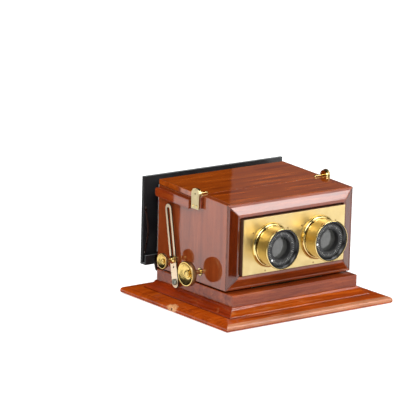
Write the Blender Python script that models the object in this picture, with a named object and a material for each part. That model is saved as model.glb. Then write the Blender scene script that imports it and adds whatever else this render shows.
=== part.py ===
"""A tabletop stereo viewer: a mahogany body with two brass eyepieces, hinged on a stepped base.

Metres, +Z up. The origin is the middle of the base board's underside. The eyepieces face -Y.
Every piece that moves hangs from an empty that stands on its joint's axis.
"""

import math

import bmesh
import bpy
from mathutils import Vector

MM = 0.001

# Clearances and rounding
GAP = 0.3 * MM                    # between two pieces that touch on the real object
EDGE = 0.6 * MM                   # rounding of the wooden edges
FINE_EDGE = 0.25 * MM             # rounding of the brass edges
ROUND_LARGE = 40                  # sides of the eyepieces
ROUND_SMALL = 24                  # sides of the knobs
ROUND_TINY = 12                   # sides of screws, pins and holes

# Base board, the moulding on it and the plinth block
BASE_WIDTH = 240.4 * MM
BASE_DEPTH = 201.9 * MM
MARGIN = 30 * MM                  # base board beyond the plinth, all round
NOSE_FOOT = 2.8 * MM              # radius of the nosing's lower quarter
NOSE_DEPTH = 6.6 * MM             # depth of the nosing's upper quarter
QUIRK = 0.8 * MM                  # small step down from the ledge to the nosing
LEDGE_Z = 8.5 * MM                # the board's upper face
MOULDING_OUT = 10.7 * MM
MOULDING_FILLET = 2 * MM
MOULDING_TOP = 18.2 * MM
BEAD = 1.8 * MM                   # quarter bead where the moulding meets the plinth
PLINTH_TOP = 31.45 * MM
PLINTH_X = BASE_WIDTH / 2 - MARGIN
PLINTH_Y = BASE_DEPTH / 2 - MARGIN

# Body
BODY_X = 90 * MM                  # half width
BODY_FRONT = -57.05 * MM
BODY_DEPTH = 127.6 * MM
BODY_REAR = BODY_FRONT + BODY_DEPTH
BODY_BOTTOM = 33.5 * MM
FRONT_HEIGHT = 98.7 * MM
TOP_RISE = 4.8 * MM               # the top is that much higher at the rear
SIDE_THICK = 7 * MM
TOP_THICK = 6 * MM
BOTTOM_THICK = 5 * MM
INNER_X = BODY_X - SIDE_THICK

# Moulded front frame and the brass plate in it
FRAME_LAND = 2.8 * MM
FRAME_BEVEL = 12.2 * MM           # from the edge to the inner end of the bevel
FRAME_OPENING = 15.8 * MM         # from the edge to the opening
LAND_OUT = 1.2 * MM
BAND_OUT = 4.6 * MM
PLATE_INSET = 17.1 * MM           # from the edge to the brass plate
PLATE_OUT = 9 * MM                # the plate stands proud of the frame
PLATE_DEEP = 1.3 * MM
LENS_BOARD_THICK = 8 * MM

# Eyepieces
LENS_X = 34.7 * MM                # half of the distance between the eyes
LENS_Z = BODY_BOTTOM + 48.6 * MM
TUBE_R = 22.2 * MM
TUBE_WALL = 1.2 * MM
RIM_R = 23.7 * MM
RIM_OUT = 32.9 * MM
FLANGE_R = 25.8 * MM
FLANGE_OUT = 13 * MM
BEZEL_R = 22.6 * MM
ANNULUS_R = 19.4 * MM             # flat black ring inside the bezel's cone
ANNULUS_DROP = 4 * MM           # how far it lies behind the rim
APERTURE_R = 12.9 * MM
GLASS_R = 20.4 * MM
GLASS_BACK = 18.7 * MM            # edge of the lens, out from the body's front
GLASS_EDGE = 3 * MM
GLASS_CROWN = 1 * MM

# Lid and its pivots
LID_FRONT = BODY_FRONT + 50.8 * MM
LID_AXIS_Y = BODY_FRONT + 53 * MM
LID_PIN_R = 1 * MM
LID_PIN_REACH = 12 * MM           # how far the pins lie in over the lid
BLOCK_OUT = 3.4 * MM
BOSS_R = 6 * MM                   # round boss on the inner side of each pivot plate
PLATE_THICK = 1.5 * MM
PIVOT_PLATE_HALF = 7 * MM
PIVOT_PLATE_LOW = BODY_BOTTOM + 84.5 * MM
RAIL_FRONT = BODY_FRONT + 65 * MM
RAIL_REAR = BODY_FRONT + 128.4 * MM
RAIL_OUT = 5 * MM
RAIL_DROP = 8.6 * MM              # rail's top under the body's top
RAIL_HEIGHT = 10.3 * MM

# Tilt hinge
HINGE_Y = BODY_FRONT + 2.5 * MM
HINGE_Z = (PLINTH_TOP + BODY_BOTTOM) / 2
HINGE_HALF = 50 * MM
KNUCKLE_HALF = 17 * MM
KNUCKLE_R = 1.6 * MM
KNUCKLE_BORE = 1 * MM
HINGE_PIN_R = 0.7 * MM
LEAF_LENGTH = 10 * MM

# Tilt arm
ARM_LEAN = math.radians(11)
ARM_PIVOT = Vector((BODY_FRONT + 88.2 * MM, BODY_BOTTOM - 8.5 * MM))
ARM_HALF = 5.5 * MM
ARM_INNER = BODY_X + 2.4 * MM
ARM_OUTER = BODY_X + 3.9 * MM
ARM_TOP = 84.2 * MM               # from the pivot to the middle of the round top end
ARM_HOLE = 17.3 * MM              # from the pivot to the small spare hole
SLOT_HALF = 2.5 * MM
SLOT_LOW = 24.2 * MM
STUD_DISTANCE = 25.9 * MM         # from the pivot to the clamp stud at rest
STUD_R = 1.1 * MM

# Focusing gear
FOCUS_Y = BODY_FRONT + 46.8 * MM
FOCUS_Z = BODY_BOTTOM + 12.5 * MM
SPINDLE_R = 2.7 * MM
FOCUS_KNOB_OUT = 14.5 * MM        # from the body's side to the knob's back
RACK_X = 70 * MM
RACK_HALF = 3 * MM
PINION_TEETH = 14
PINION_R = 4.2 * MM               # pitch radius
TOOTH = 0.4 * MM                  # tooth height on each side of the pitch line
BACKLASH = 0.3 * MM

# Picture stage behind the body
STAGE_X = 101 * MM
STAGE_FRONT = BODY_FRONT + 142.3 * MM
STAGE_THICK = 3.5 * MM
STAGE_BOTTOM = BODY_BOTTOM + 3.5 * MM
STAGE_TOP = BODY_BOTTOM + 104.7 * MM
WINDOW_X = 80 * MM
WINDOW_LOW = BODY_BOTTOM + 13 * MM
WINDOW_HIGH = BODY_BOTTOM + 93 * MM
REBATE = 3 * MM
GLASS_THICK = 1.2 * MM
LEDGE_FRONT = BODY_FRONT + 135.9 * MM
LEDGE_LOW = BODY_BOTTOM + 1.5 * MM
LEDGE_HIGH = BODY_BOTTOM + 12.6 * MM
SPRING_BOW = 5 * MM

MATERIALS = {
    # name: (red, green, blue), roughness, metallic
    "mahogany": ((0.22, 0.035, 0.008), 0.2, 0.0),
    "mahogany_dark": ((0.11, 0.016, 0.006), 0.3, 0.0),
    "brass": ((0.83, 0.62, 0.22), 0.22, 1.0),
    "brass_satin": ((0.86, 0.71, 0.36), 0.38, 1.0),
    "black_lacquer": ((0.012, 0.012, 0.014), 0.3, 0.0),
    "steel": ((0.5, 0.5, 0.48), 0.35, 1.0),
    "glass": ((0.35, 0.36, 0.37), 0.05, 0.0),
    "ground_glass": ((0.75, 0.78, 0.78), 0.6, 0.0),
    "mirror": ((0.8, 0.8, 0.8), 0.03, 1.0),
    "black_card": ((0.015, 0.015, 0.015), 0.8, 0.0),
    "felt": ((0.03, 0.06, 0.03), 0.95, 0.0),
}


def top_z(y):
    """Height of the body's sloping top at a depth y."""
    return BODY_BOTTOM + FRONT_HEIGHT + TOP_RISE * (y - BODY_FRONT) / BODY_DEPTH


LID_AXIS_Z = top_z(LID_AXIS_Y) + LID_PIN_R + GAP


# Scene, materials and empties


def clear_scene():
    for old in list(bpy.data.objects):
        bpy.data.objects.remove(old, do_unlink=True)


def material(name):
    """The named material, made the first time that it is asked for."""
    found = bpy.data.materials.get(name)
    if found:
        return found
    colour, roughness, metallic = MATERIALS[name]
    made = bpy.data.materials.new(name)
    made.use_nodes = True
    shader = made.node_tree.nodes["Principled BSDF"]
    shader.inputs["Base Color"].default_value = (*colour, 1)
    shader.inputs["Roughness"].default_value = roughness
    shader.inputs["Metallic"].default_value = metallic
    return made


def world_place(item):
    """World position of an object whose parents are not turned."""
    place = Vector((0, 0, 0))
    while item:
        place += item.location
        item = item.parent
    return place


def pivot(name, place, parent=None):
    """An empty on a joint's axis."""
    empty = bpy.data.objects.new(name, None)
    empty.empty_display_size = 10 * MM
    bpy.context.scene.collection.objects.link(empty)
    empty.location = Vector(place) - world_place(parent)
    empty.parent = parent
    return empty


# Shapes


def finish(name, bm, colour, parent):
    """Turns a bmesh in world coordinates into a named object with its origin at its middle."""
    bmesh.ops.recalc_face_normals(bm, faces=bm.faces[:])
    lows = [min(v.co[i] for v in bm.verts) for i in range(3)]
    highs = [max(v.co[i] for v in bm.verts) for i in range(3)]
    middle = (Vector(lows) + Vector(highs)) / 2
    bmesh.ops.translate(bm, verts=bm.verts[:], vec=-middle)
    mesh = bpy.data.meshes.new(name)
    bm.to_mesh(mesh)
    bm.free()
    mesh.shade_smooth()
    mesh.set_sharp_from_angle(angle=math.radians(32))
    mesh.materials.append(material(colour))
    made = bpy.data.objects.new(name, mesh)
    bpy.context.scene.collection.objects.link(made)
    made.location = middle - world_place(parent)
    made.parent = parent
    return made


def round_edges(bm, width, segments=2):
    """Rounds every edge that is sharper than 25 degrees."""
    if width <= 0:
        return
    sharp = [e for e in bm.edges if e.calc_face_angle(0) > math.radians(25)]
    bmesh.ops.bevel(bm, geom=sharp, offset=width, segments=segments, profile=0.5, affect="EDGES",
                    clamp_overlap=True)


def add_box(bm, low, high):
    """Adds a box to a bmesh."""
    grown = bmesh.ops.create_cube(bm, size=1)
    size = [high[i] - low[i] for i in range(3)]
    middle = [(high[i] + low[i]) / 2 for i in range(3)]
    bmesh.ops.scale(bm, verts=grown["verts"], vec=size)
    bmesh.ops.translate(bm, verts=grown["verts"], vec=middle)


def box(name, low, high, colour, parent, edge=EDGE):
    bm = bmesh.new()
    add_box(bm, low, high)
    round_edges(bm, edge)
    return finish(name, bm, colour, parent)


def side_point(x, point):
    """A point of a side outline, given as (y, z), at a place x across the body."""
    return Vector((x, point[0], point[1]))


def add_side_prism(bm, outline, x_low, x_high):
    """Adds a (y, z) outline that is extruded from x_low to x_high."""
    near = [bm.verts.new(side_point(x_low, p)) for p in outline]
    far = [bm.verts.new(side_point(x_high, p)) for p in outline]
    bm.faces.new(near)
    bm.faces.new(list(reversed(far)))
    for i, vertex in enumerate(near):
        after = (i + 1) % len(near)
        bm.faces.new((vertex, far[i], far[after], near[after]))


def side_prism(name, outline, x_low, x_high, colour, parent, edge=0.0):
    bm = bmesh.new()
    add_side_prism(bm, outline, x_low, x_high)
    round_edges(bm, edge)
    return finish(name, bm, colour, parent)


def side_prism_pair(name, outline, inner, outer, colour, parent, edge=0.0):
    """The same piece on the left and on the right, from inner to outer, as two nodes."""
    side_prism(name + "_left", outline, -outer, -inner, colour, parent, edge)
    side_prism(name + "_right", outline, inner, outer, colour, parent, edge)


def arc(centre, radius, start, end, steps):
    """Points on an arc in a plane, angles in degrees."""
    points = []
    for i in range(steps + 1):
        angle = math.radians(start + (end - start) * i / steps)
        points.append((centre[0] + radius * math.cos(angle), centre[1] + radius * math.sin(angle)))
    return points


def add_turned(bm, profile, centre, axis, sides, closed):
    """Adds a turned shape. The profile holds (radius, distance along axis); a closed one is a ring."""
    axis = Vector(axis)
    across = Vector((1, 0, 0)) if axis.z else Vector((0, 0, 1))
    aside = axis.cross(across)
    rings = []
    for radius, along in profile:
        middle = Vector(centre) + axis * along
        if radius == 0:
            rings.append([bm.verts.new(middle)])
            continue
        angles = [2 * math.pi * i / sides for i in range(sides)]
        spokes = [across * math.cos(a) + aside * math.sin(a) for a in angles]
        rings.append([bm.verts.new(middle + spoke * radius) for spoke in spokes])
    pairs = list(zip(rings, rings[1:]))
    if closed:
        pairs.append((rings[-1], rings[0]))
    for one, two in pairs:
        for i in range(sides):
            after = (i + 1) % sides
            if len(one) == 1:
                bm.faces.new((one[0], two[i], two[after]))
            elif len(two) == 1:
                bm.faces.new((one[i], one[after], two[0]))
            else:
                bm.faces.new((one[i], one[after], two[after], two[i]))


def turned(name, profile, centre, axis, colour, parent, sides=ROUND_LARGE):
    """A turned piece; its profile starts and ends on the axis, or else it is a ring."""
    bm = bmesh.new()
    ring = profile[0][0] != 0
    add_turned(bm, profile, centre, axis, sides, ring)
    return finish(name, bm, colour, parent)


def rod_profile(radius, start, end):
    return [(0, start), (radius, start), (radius, end), (0, end)]


def tube_profile(inner, outer, start, end):
    return [(inner, start), (outer, start), (outer, end), (inner, end)]


def boolean(target, bm, operation):
    """Joins a bmesh in world coordinates to an object, or takes it away."""
    tool = finish(target.name + "_tool", bm, "black_card", None)
    tool.hide_render = True
    tool.display_type = "WIRE"
    modifier = target.modifiers.new(operation.lower(), "BOOLEAN")
    modifier.operation = operation
    modifier.object = tool


def cut(target, bm):
    boolean(target, bm, "DIFFERENCE")


def cut_box(target, low, high):
    bm = bmesh.new()
    add_box(bm, low, high)
    cut(target, bm)


def cut_rods(target, centres, axis, radius, start, end, sides=ROUND_TINY):
    """Drills holes of one size through an object."""
    bm = bmesh.new()
    for centre in centres:
        add_turned(bm, rod_profile(radius, start, end), centre, axis, sides, False)
    cut(target, bm)


def mitred_strip(name, profile, corners, colour, parent):
    """One side of a mitred frame. corners(point) gives the strip's two ends for a profile point."""
    bm = bmesh.new()
    starts = []
    ends = []
    for point in profile:
        start, end = corners(point)
        along = (end - start).normalized() * GAP / 2
        starts.append(bm.verts.new(start + along))
        ends.append(bm.verts.new(end - along))
    bm.faces.new(starts)
    bm.faces.new(list(reversed(ends)))
    for i in range(len(starts)):
        after = (i + 1) % len(starts)
        bm.faces.new((starts[i], ends[i], ends[after], starts[after]))
    return finish(name, bm, colour, parent)


def rectangle_sides(half_x, half_y):
    """The four sides of a rectangle, as pairs of corner signs and names."""
    return {
        "front": (Vector((-half_x, -half_y)), Vector((half_x, -half_y))),
        "right": (Vector((half_x, -half_y)), Vector((half_x, half_y))),
        "rear": (Vector((half_x, half_y)), Vector((-half_x, half_y))),
        "left": (Vector((-half_x, half_y)), Vector((-half_x, -half_y))),
    }


# Base


def base_board():
    """The board with its bull nosing, and the mortise for the case's catch in its left edge."""
    levels = []
    for along, up in arc((0, 0), 1, -90, 0, 5):
        levels.append((MARGIN - NOSE_FOOT * (1 - along), NOSE_FOOT * (1 + up)))
    rise = LEDGE_Z - QUIRK - NOSE_FOOT
    for along, up in arc((0, 0), 1, 0, 90, 6)[1:]:
        levels.append((MARGIN - NOSE_DEPTH * (1 - along), NOSE_FOOT + rise * up))
    levels.append((MARGIN - NOSE_DEPTH - QUIRK / 2, LEDGE_Z))
    bm = bmesh.new()
    rings = []
    for offset, z in levels:
        x, y = PLINTH_X + offset, PLINTH_Y + offset
        signs = ((-1, -1), (1, -1), (1, 1), (-1, 1))
        rings.append([bm.verts.new((sx * x, sy * y, z)) for sx, sy in signs])
    bm.faces.new(rings[0])
    bm.faces.new(list(reversed(rings[-1])))
    for low, high in zip(rings, rings[1:]):
        for i in range(4):
            after = (i + 1) % 4
            bm.faces.new((low[i], low[after], high[after], high[i]))
    board = finish("base_board", bm, "mahogany", None)
    edge = -BASE_WIDTH / 2
    cut_box(board, (edge - MM, 0.2 * MM, 2.2 * MM), (edge + 5 * MM, 2 * MM, 5.2 * MM))
    return board


def base_moulding():
    """Four mitred strips round the plinth: a fillet, a shallow cove and a quarter bead."""
    foot = LEDGE_Z + GAP
    cove_low = LEDGE_Z + MOULDING_FILLET
    cove_high = MOULDING_TOP - BEAD
    profile = [(GAP, foot), (MOULDING_OUT, foot)]
    steps = 5
    for i in range(steps + 1):
        share = i / steps
        sag = 0.5 * MM * math.sin(math.pi * share)
        out = MOULDING_OUT + (BEAD - MOULDING_OUT) * share - sag
        profile.append((out, cove_low + (cove_high - cove_low) * share - sag))
    profile += [(GAP + (BEAD - GAP) * c, cove_high + BEAD * s) for c, s in arc((0, 0), 1, 30, 90, 3)]
    for side, (start, end) in rectangle_sides(PLINTH_X, PLINTH_Y).items():

        def corners(point, start=start, end=end):
            ends = []
            for corner in (start, end):
                x = corner.x + math.copysign(point[0], corner.x)
                y = corner.y + math.copysign(point[0], corner.y)
                ends.append(Vector((x, y, point[1])))
            return ends

        mitred_strip("base_moulding_" + side, profile, corners, "mahogany", None)


def plinth():
    """The solid block that the body rests on, with a channel for the hinge and a hole for the arm."""
    low = (-PLINTH_X, -PLINTH_Y, LEDGE_Z + GAP)
    high = (PLINTH_X, PLINTH_Y, PLINTH_TOP)
    block = box("plinth_block", low, high, "mahogany", None)
    floor = HINGE_Z - KNUCKLE_R - GAP
    half = HINGE_HALF + GAP
    cut_box(block, (-half, HINGE_Y - KNUCKLE_R - GAP, floor),
            (half, HINGE_Y + LEAF_LENGTH + GAP, PLINTH_TOP + MM))
    centre = (0, *ARM_PIVOT)
    cut_rods(block, [centre], (-1, 0, 0), 1.8 * MM, PLINTH_X - 8 * MM, PLINTH_X + MM)


def rest_pad():
    """The felt strip at the rear of the plinth that the lowered body rests on."""
    low = (-PLINTH_X + 10 * MM, BODY_REAR - 12 * MM, PLINTH_TOP + GAP)
    high = (PLINTH_X - 10 * MM, BODY_REAR - 4 * MM, BODY_BOTTOM - GAP)
    box("rest_pad", low, high, "felt", None, FINE_EDGE)


# Tilt hinge and arm


def hinge_leaf(name, up, parent):
    """A leaf that is rolled round the pin. up is 1 for the body's leaf and -1 for the plinth's."""
    turns = 10
    outer = arc((0, 0), KNUCKLE_R, -90, -320, turns)
    inner = arc((0, 0), KNUCKLE_BORE, -320, -90, turns)
    outline = [(LEAF_LENGTH, -KNUCKLE_R)] + outer + inner + [(LEAF_LENGTH, -KNUCKLE_BORE)]
    outline = [(HINGE_Y + y, HINGE_Z - up * z) for y, z in outline]
    leaf = side_prism(name, outline, -HINGE_HALF, HINGE_HALF, "brass", parent)
    reach = KNUCKLE_R + GAP
    low_y, high_y = HINGE_Y - reach, HINGE_Y + reach
    low_z, high_z = HINGE_Z - reach, HINGE_Z + reach
    if up < 0:
        middle = KNUCKLE_HALF + GAP / 2
        cut_box(leaf, (-middle, low_y, low_z), (middle, high_y, high_z))
        return
    bm = bmesh.new()
    for side in (-1, 1):
        ends = sorted((side * (KNUCKLE_HALF - GAP / 2), side * (HINGE_HALF + MM)))
        add_box(bm, (ends[0], low_y, low_z), (ends[1], high_y, high_z))
    cut(leaf, bm)


def tilt_hinge(body):
    hinge_leaf("tilt_hinge_lower_leaf", -1, None)
    hinge_leaf("tilt_hinge_upper_leaf", 1, body)
    pin = rod_profile(HINGE_PIN_R, -HINGE_HALF, HINGE_HALF)
    turned("tilt_hinge_pin", pin, (0, HINGE_Y, HINGE_Z), (1, 0, 0), "steel", None, ROUND_TINY)


def arm_point(along, across=0.0):
    """A point (y, z) of the leaning arm, measured from its pivot."""
    up = Vector((math.sin(ARM_LEAN), math.cos(ARM_LEAN)))
    side = Vector((up.y, -up.x))
    return ARM_PIVOT + up * along + side * across


def arm_slot_outline(low, high, half, steps):
    """A round-ended outline along the arm."""
    local = arc((0, high), half, 0, 180, steps) + arc((0, low), half, 180, 360, steps)
    return [arm_point(along, across) for across, along in local]


def tilt_arm(arm):
    """The slotted brass arm that holds the body up, its pivot screw and the washer under it."""
    outline = arm_slot_outline(-1.2 * MM, ARM_TOP, ARM_HALF, 10)
    plate = side_prism("tilt_arm", outline, -ARM_OUTER, -ARM_INNER, "brass_satin", arm)
    slot = arm_slot_outline(SLOT_LOW, ARM_TOP - 0.6 * MM, SLOT_HALF, 8)
    bm = bmesh.new()
    add_side_prism(bm, slot, -ARM_OUTER - MM, -ARM_INNER + MM)
    cut(plate, bm)
    left = (-1, 0, 0)
    cut_rods(plate, [(0, *ARM_PIVOT)], left, 1.8 * MM, ARM_INNER - MM, ARM_OUTER + MM)
    cut_rods(plate, [(0, *arm_point(ARM_HOLE))], left, 1.3 * MM, ARM_INNER - MM, ARM_OUTER + MM)
    washer = tube_profile(1.8 * MM, 4.6 * MM, PLINTH_X + GAP, ARM_INNER - GAP)
    turned("tilt_arm_washer", washer, (0, *ARM_PIVOT), left, "brass", None, ROUND_SMALL)
    head = ARM_OUTER + GAP
    screw = [(0, PLINTH_X - 7 * MM), (1.5 * MM, PLINTH_X - 7 * MM), (1.5 * MM, head), (3.6 * MM, head),
             (3.6 * MM, head + 0.9 * MM), (2.4 * MM, head + 1.5 * MM), (0, head + 1.7 * MM)]
    turned("tilt_arm_screw", screw, (0, *ARM_PIVOT), left, "steel", None, ROUND_SMALL)


def dished_knob(radius, back, thickness, bore):
    """Profile of a knob with a dished face and a boss. back is the distance of its back face."""
    front = back + thickness
    return [
        (0, front - 0.2 * thickness),
        (0.17 * radius, front - 0.26 * thickness),
        (0.28 * radius, front - 0.38 * thickness),
        (0.32 * radius, front - 0.52 * thickness),
        (0.56 * radius, front - 0.48 * thickness),
        (0.8 * radius, front - 0.2 * thickness),
        (0.89 * radius, front),
        (0.96 * radius, front),
        (radius, front - 0.12 * thickness),
        (radius, back + 0.22 * thickness),
        (0.94 * radius, back + 0.1 * thickness),
        (0.72 * radius, back),
        (bore, back),
    ]


def clamp(body, knob_pivot):
    """The clamp knob, the stud that it turns on and the bush between the arm and the body."""
    centre = (0, *arm_point(STUD_DISTANCE))
    left = (-1, 0, 0)
    stud = rod_profile(STUD_R, INNER_X + MM, BODY_X + 11 * MM)
    turned("clamp_stud", stud, centre, left, "steel", body, ROUND_TINY)
    bush = tube_profile(STUD_R + GAP, 4.6 * MM, BODY_X + GAP, ARM_INNER - GAP)
    turned("clamp_bush", bush, centre, left, "brass", body, ROUND_SMALL)
    bore = STUD_R + GAP
    collar = BODY_X + 4.2 * MM
    knob = dished_knob(9 * MM, BODY_X + 15.5 * MM, 4.5 * MM, 3 * MM)
    knob += [(3 * MM, collar + 3 * MM), (4.3 * MM, collar + 2.6 * MM), (4.6 * MM, collar + 0.4 * MM),
             (4.2 * MM, collar), (bore, collar), (bore, BODY_X + 11.5 * MM), (0, BODY_X + 11.5 * MM)]
    turned("clamp_knob", knob, centre, left, "brass", knob_pivot, ROUND_SMALL)


# Body


def side_panels(body):
    """Full height in front of the lid, lower under it. Drilled for the spindle and the clamp stud."""
    low_top = TOP_THICK + 2 * GAP
    front = BODY_FRONT + GAP
    step = LID_FRONT - GAP
    outline = [
        (front, BODY_BOTTOM),
        (BODY_REAR, BODY_BOTTOM),
        (BODY_REAR, top_z(BODY_REAR) - low_top),
        (step, top_z(step) - low_top),
        (step, top_z(step)),
        (front, top_z(front)),
    ]
    for side, name in ((-1, "left"), (1, "right")):
        ends = sorted((side * INNER_X, side * BODY_X))
        panel = side_prism("side_panel_" + name, outline, *ends, "mahogany", body, EDGE)
        axis = (side, 0, 0)
        centre = (0, FOCUS_Y, FOCUS_Z)
        cut_rods(panel, [centre], axis, 4 * MM + GAP, INNER_X - MM, BODY_X + MM, ROUND_SMALL)
        if side < 0:
            cut_rods(panel, [(0, *arm_point(STUD_DISTANCE))], axis, STUD_R + GAP, INNER_X - MM, BODY_X + MM)


def carcass_boards(body):
    """The bottom board, the front part of the top, and the board with the raised eyepiece panel."""
    inner = INNER_X - GAP
    front = BODY_FRONT + GAP
    floor = box("bottom_board", (-inner, front, BODY_BOTTOM), (inner, BODY_REAR, BODY_BOTTOM + BOTTOM_THICK),
                "mahogany_dark", body)
    half = HINGE_HALF + GAP
    cut_box(floor, (-half, front - MM, BODY_BOTTOM - MM),
            (half, HINGE_Y + LEAF_LENGTH + GAP, HINGE_Z + KNUCKLE_R + GAP))
    rear = LID_FRONT - GAP
    outline = [(front, top_z(front)), (front, top_z(front) - TOP_THICK),
               (rear, top_z(rear) - TOP_THICK), (rear, top_z(rear))]
    side_prism("top_board", outline, -inner, inner, "mahogany", body, EDGE)
    ceiling = top_z(front) - TOP_THICK - GAP
    board = box("lens_board", (-inner, front, BODY_BOTTOM + BOTTOM_THICK + GAP),
                (inner, front + LENS_BOARD_THICK, ceiling), "mahogany_dark", body)
    inset = PLATE_INSET + GAP
    panel_x = BODY_X - inset
    bm = bmesh.new()
    add_box(bm, (-panel_x, BODY_FRONT - PLATE_OUT + PLATE_DEEP + GAP, BODY_BOTTOM + inset),
            (panel_x, front + 2 * MM, BODY_BOTTOM + FRONT_HEIGHT - inset))
    boolean(board, bm, "UNION")
    centres = [(side * LENS_X, 0, LENS_Z) for side in (-1, 1)]
    cut_rods(board, centres, (0, -1, 0), TUBE_R + GAP, -(front + 20 * MM), -(front - 20 * MM), ROUND_LARGE)


def front_frame(body):
    """Four mitred rails with a land, a wide bevel and a flat band round the brass plate."""
    profile = [
        (0, 0),
        (0, LAND_OUT - 0.4 * MM),
        (0.4 * MM, LAND_OUT),
        (FRAME_LAND, LAND_OUT),
        (FRAME_BEVEL, BAND_OUT),
        (FRAME_OPENING - 0.4 * MM, BAND_OUT),
        (FRAME_OPENING, BAND_OUT - 0.4 * MM),
        (FRAME_OPENING, 0),
    ]
    middle = BODY_BOTTOM + FRONT_HEIGHT / 2
    sides = rectangle_sides(BODY_X, FRONT_HEIGHT / 2)
    names = {"front": "bottom", "rear": "top", "left": "left", "right": "right"}
    for side, (start, end) in sides.items():

        def corners(point, start=start, end=end):
            ends = []
            for corner in (start, end):
                x = corner.x - math.copysign(point[0], corner.x)
                z = middle + corner.y - math.copysign(point[0], corner.y)
                ends.append(Vector((x, BODY_FRONT - point[1], z)))
            return ends

        mitred_strip("front_rail_" + names[side], profile, corners, "mahogany", body)


def lens_plate(body):
    """The brass plate on the raised panel, with a hole for each eyepiece."""
    half = BODY_X - PLATE_INSET
    low = BODY_BOTTOM + PLATE_INSET
    high = BODY_BOTTOM + FRONT_HEIGHT - PLATE_INSET
    front = BODY_FRONT - PLATE_OUT
    plate = box("lens_plate", (-half, front, low), (half, front + PLATE_DEEP, high), "brass_satin", body,
                FINE_EDGE)
    centres = [(side * LENS_X, BODY_FRONT, LENS_Z) for side in (-1, 1)]
    cut_rods(plate, centres, (0, -1, 0), TUBE_R + GAP, 0, PLATE_OUT + MM, ROUND_LARGE)


def eyepiece(side, name, body):
    """Flange, flared tube, black bezel and lens of one eyepiece."""
    centre = (side * LENS_X, BODY_FRONT, LENS_Z)
    toward_eye = (0, -1, 0)
    face = PLATE_OUT + GAP
    bore = TUBE_R + GAP
    shoulder = 2.2 * MM
    bulge = arc((FLANGE_R - shoulder, FLANGE_OUT - shoulder), shoulder, 0, 75, 5)
    flange = [(bore, face), (FLANGE_R, face), *bulge, (bore + 0.3 * MM, FLANGE_OUT), (bore, FLANGE_OUT)]
    turned("lens_flange_" + name, flange, centre, toward_eye, "brass", body)
    inner = TUBE_R - TUBE_WALL
    cup = BEZEL_R + GAP
    shelf = RIM_OUT - 7.4 * MM
    tube = [
        (inner, -LENS_BOARD_THICK),
        (TUBE_R, -LENS_BOARD_THICK),
        (TUBE_R, FLANGE_OUT + 4 * MM),
        (TUBE_R + 0.3 * MM, RIM_OUT - 10 * MM),
        (RIM_R - 0.3 * MM, RIM_OUT - 1.6 * MM),
        (RIM_R, RIM_OUT - 1 * MM),
        (RIM_R, RIM_OUT - 0.4 * MM),
        (RIM_R - 0.4 * MM, RIM_OUT),
        (cup + 0.1 * MM, RIM_OUT - 0.2 * MM),
        (cup, shelf),
        (inner, shelf),
    ]
    turned("lens_tube_" + name, tube, centre, toward_eye, "brass", body)
    annulus = RIM_OUT - ANNULUS_DROP
    throat = annulus - 6 * MM
    bezel = [
        (APERTURE_R, throat),
        (APERTURE_R + 1.6 * MM, throat),
        (APERTURE_R + 1.6 * MM, shelf + GAP),
        (BEZEL_R, shelf + GAP),
        (BEZEL_R, RIM_OUT - 0.8 * MM),
        (BEZEL_R - 0.6 * MM, RIM_OUT - 0.8 * MM),
        (ANNULUS_R, annulus),
        (APERTURE_R + 0.4 * MM, annulus),
        (APERTURE_R, annulus - 0.4 * MM),
    ]
    turned("lens_bezel_" + name, bezel, centre, toward_eye, "black_lacquer", body)
    front = GLASS_BACK + GLASS_EDGE
    middle = 0.55 * GLASS_R
    glass = [
        (0, GLASS_BACK - GLASS_CROWN),
        (middle, GLASS_BACK - 0.7 * GLASS_CROWN),
        (GLASS_R, GLASS_BACK),
        (GLASS_R, front),
        (middle, front + 0.7 * GLASS_CROWN),
        (0, front + GLASS_CROWN),
    ]
    turned("lens_glass_" + name, glass, centre, toward_eye, "glass", body)


def septum(body):
    """The black partition that keeps each eye to its own picture."""
    front = BODY_FRONT + LENS_BOARD_THICK + 2 * GAP
    rear = BODY_REAR - 6 * MM
    low = FOCUS_Z + SPINDLE_R + 3 * MM
    outline = [(front, low), (rear, low), (rear, top_z(rear) - 14 * MM),
               (LID_FRONT, top_z(LID_FRONT) - 14 * MM), (front, top_z(front) - TOP_THICK - 2 * MM)]
    side_prism("septum", outline, -0.8 * MM, 0.8 * MM, "black_card", body)


def side_rails(body):
    """Mahogany rails along the sides under the lid, with rounded rear ends."""
    nose = RAIL_HEIGHT / 3
    corner_y = RAIL_REAR - nose
    high = top_z(corner_y) - RAIL_DROP
    low = high - RAIL_HEIGHT
    front_high = top_z(RAIL_FRONT) - RAIL_DROP
    outline = [(RAIL_FRONT, front_high), (RAIL_FRONT, front_high - RAIL_HEIGHT)]
    outline += arc((corner_y, low + nose), nose, -90, 0, 4)
    outline += arc((corner_y, high - nose), nose, 0, 90, 4)
    side_prism_pair("side_rail", outline, BODY_X + GAP, BODY_X + RAIL_OUT, "mahogany", body, EDGE)


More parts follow.
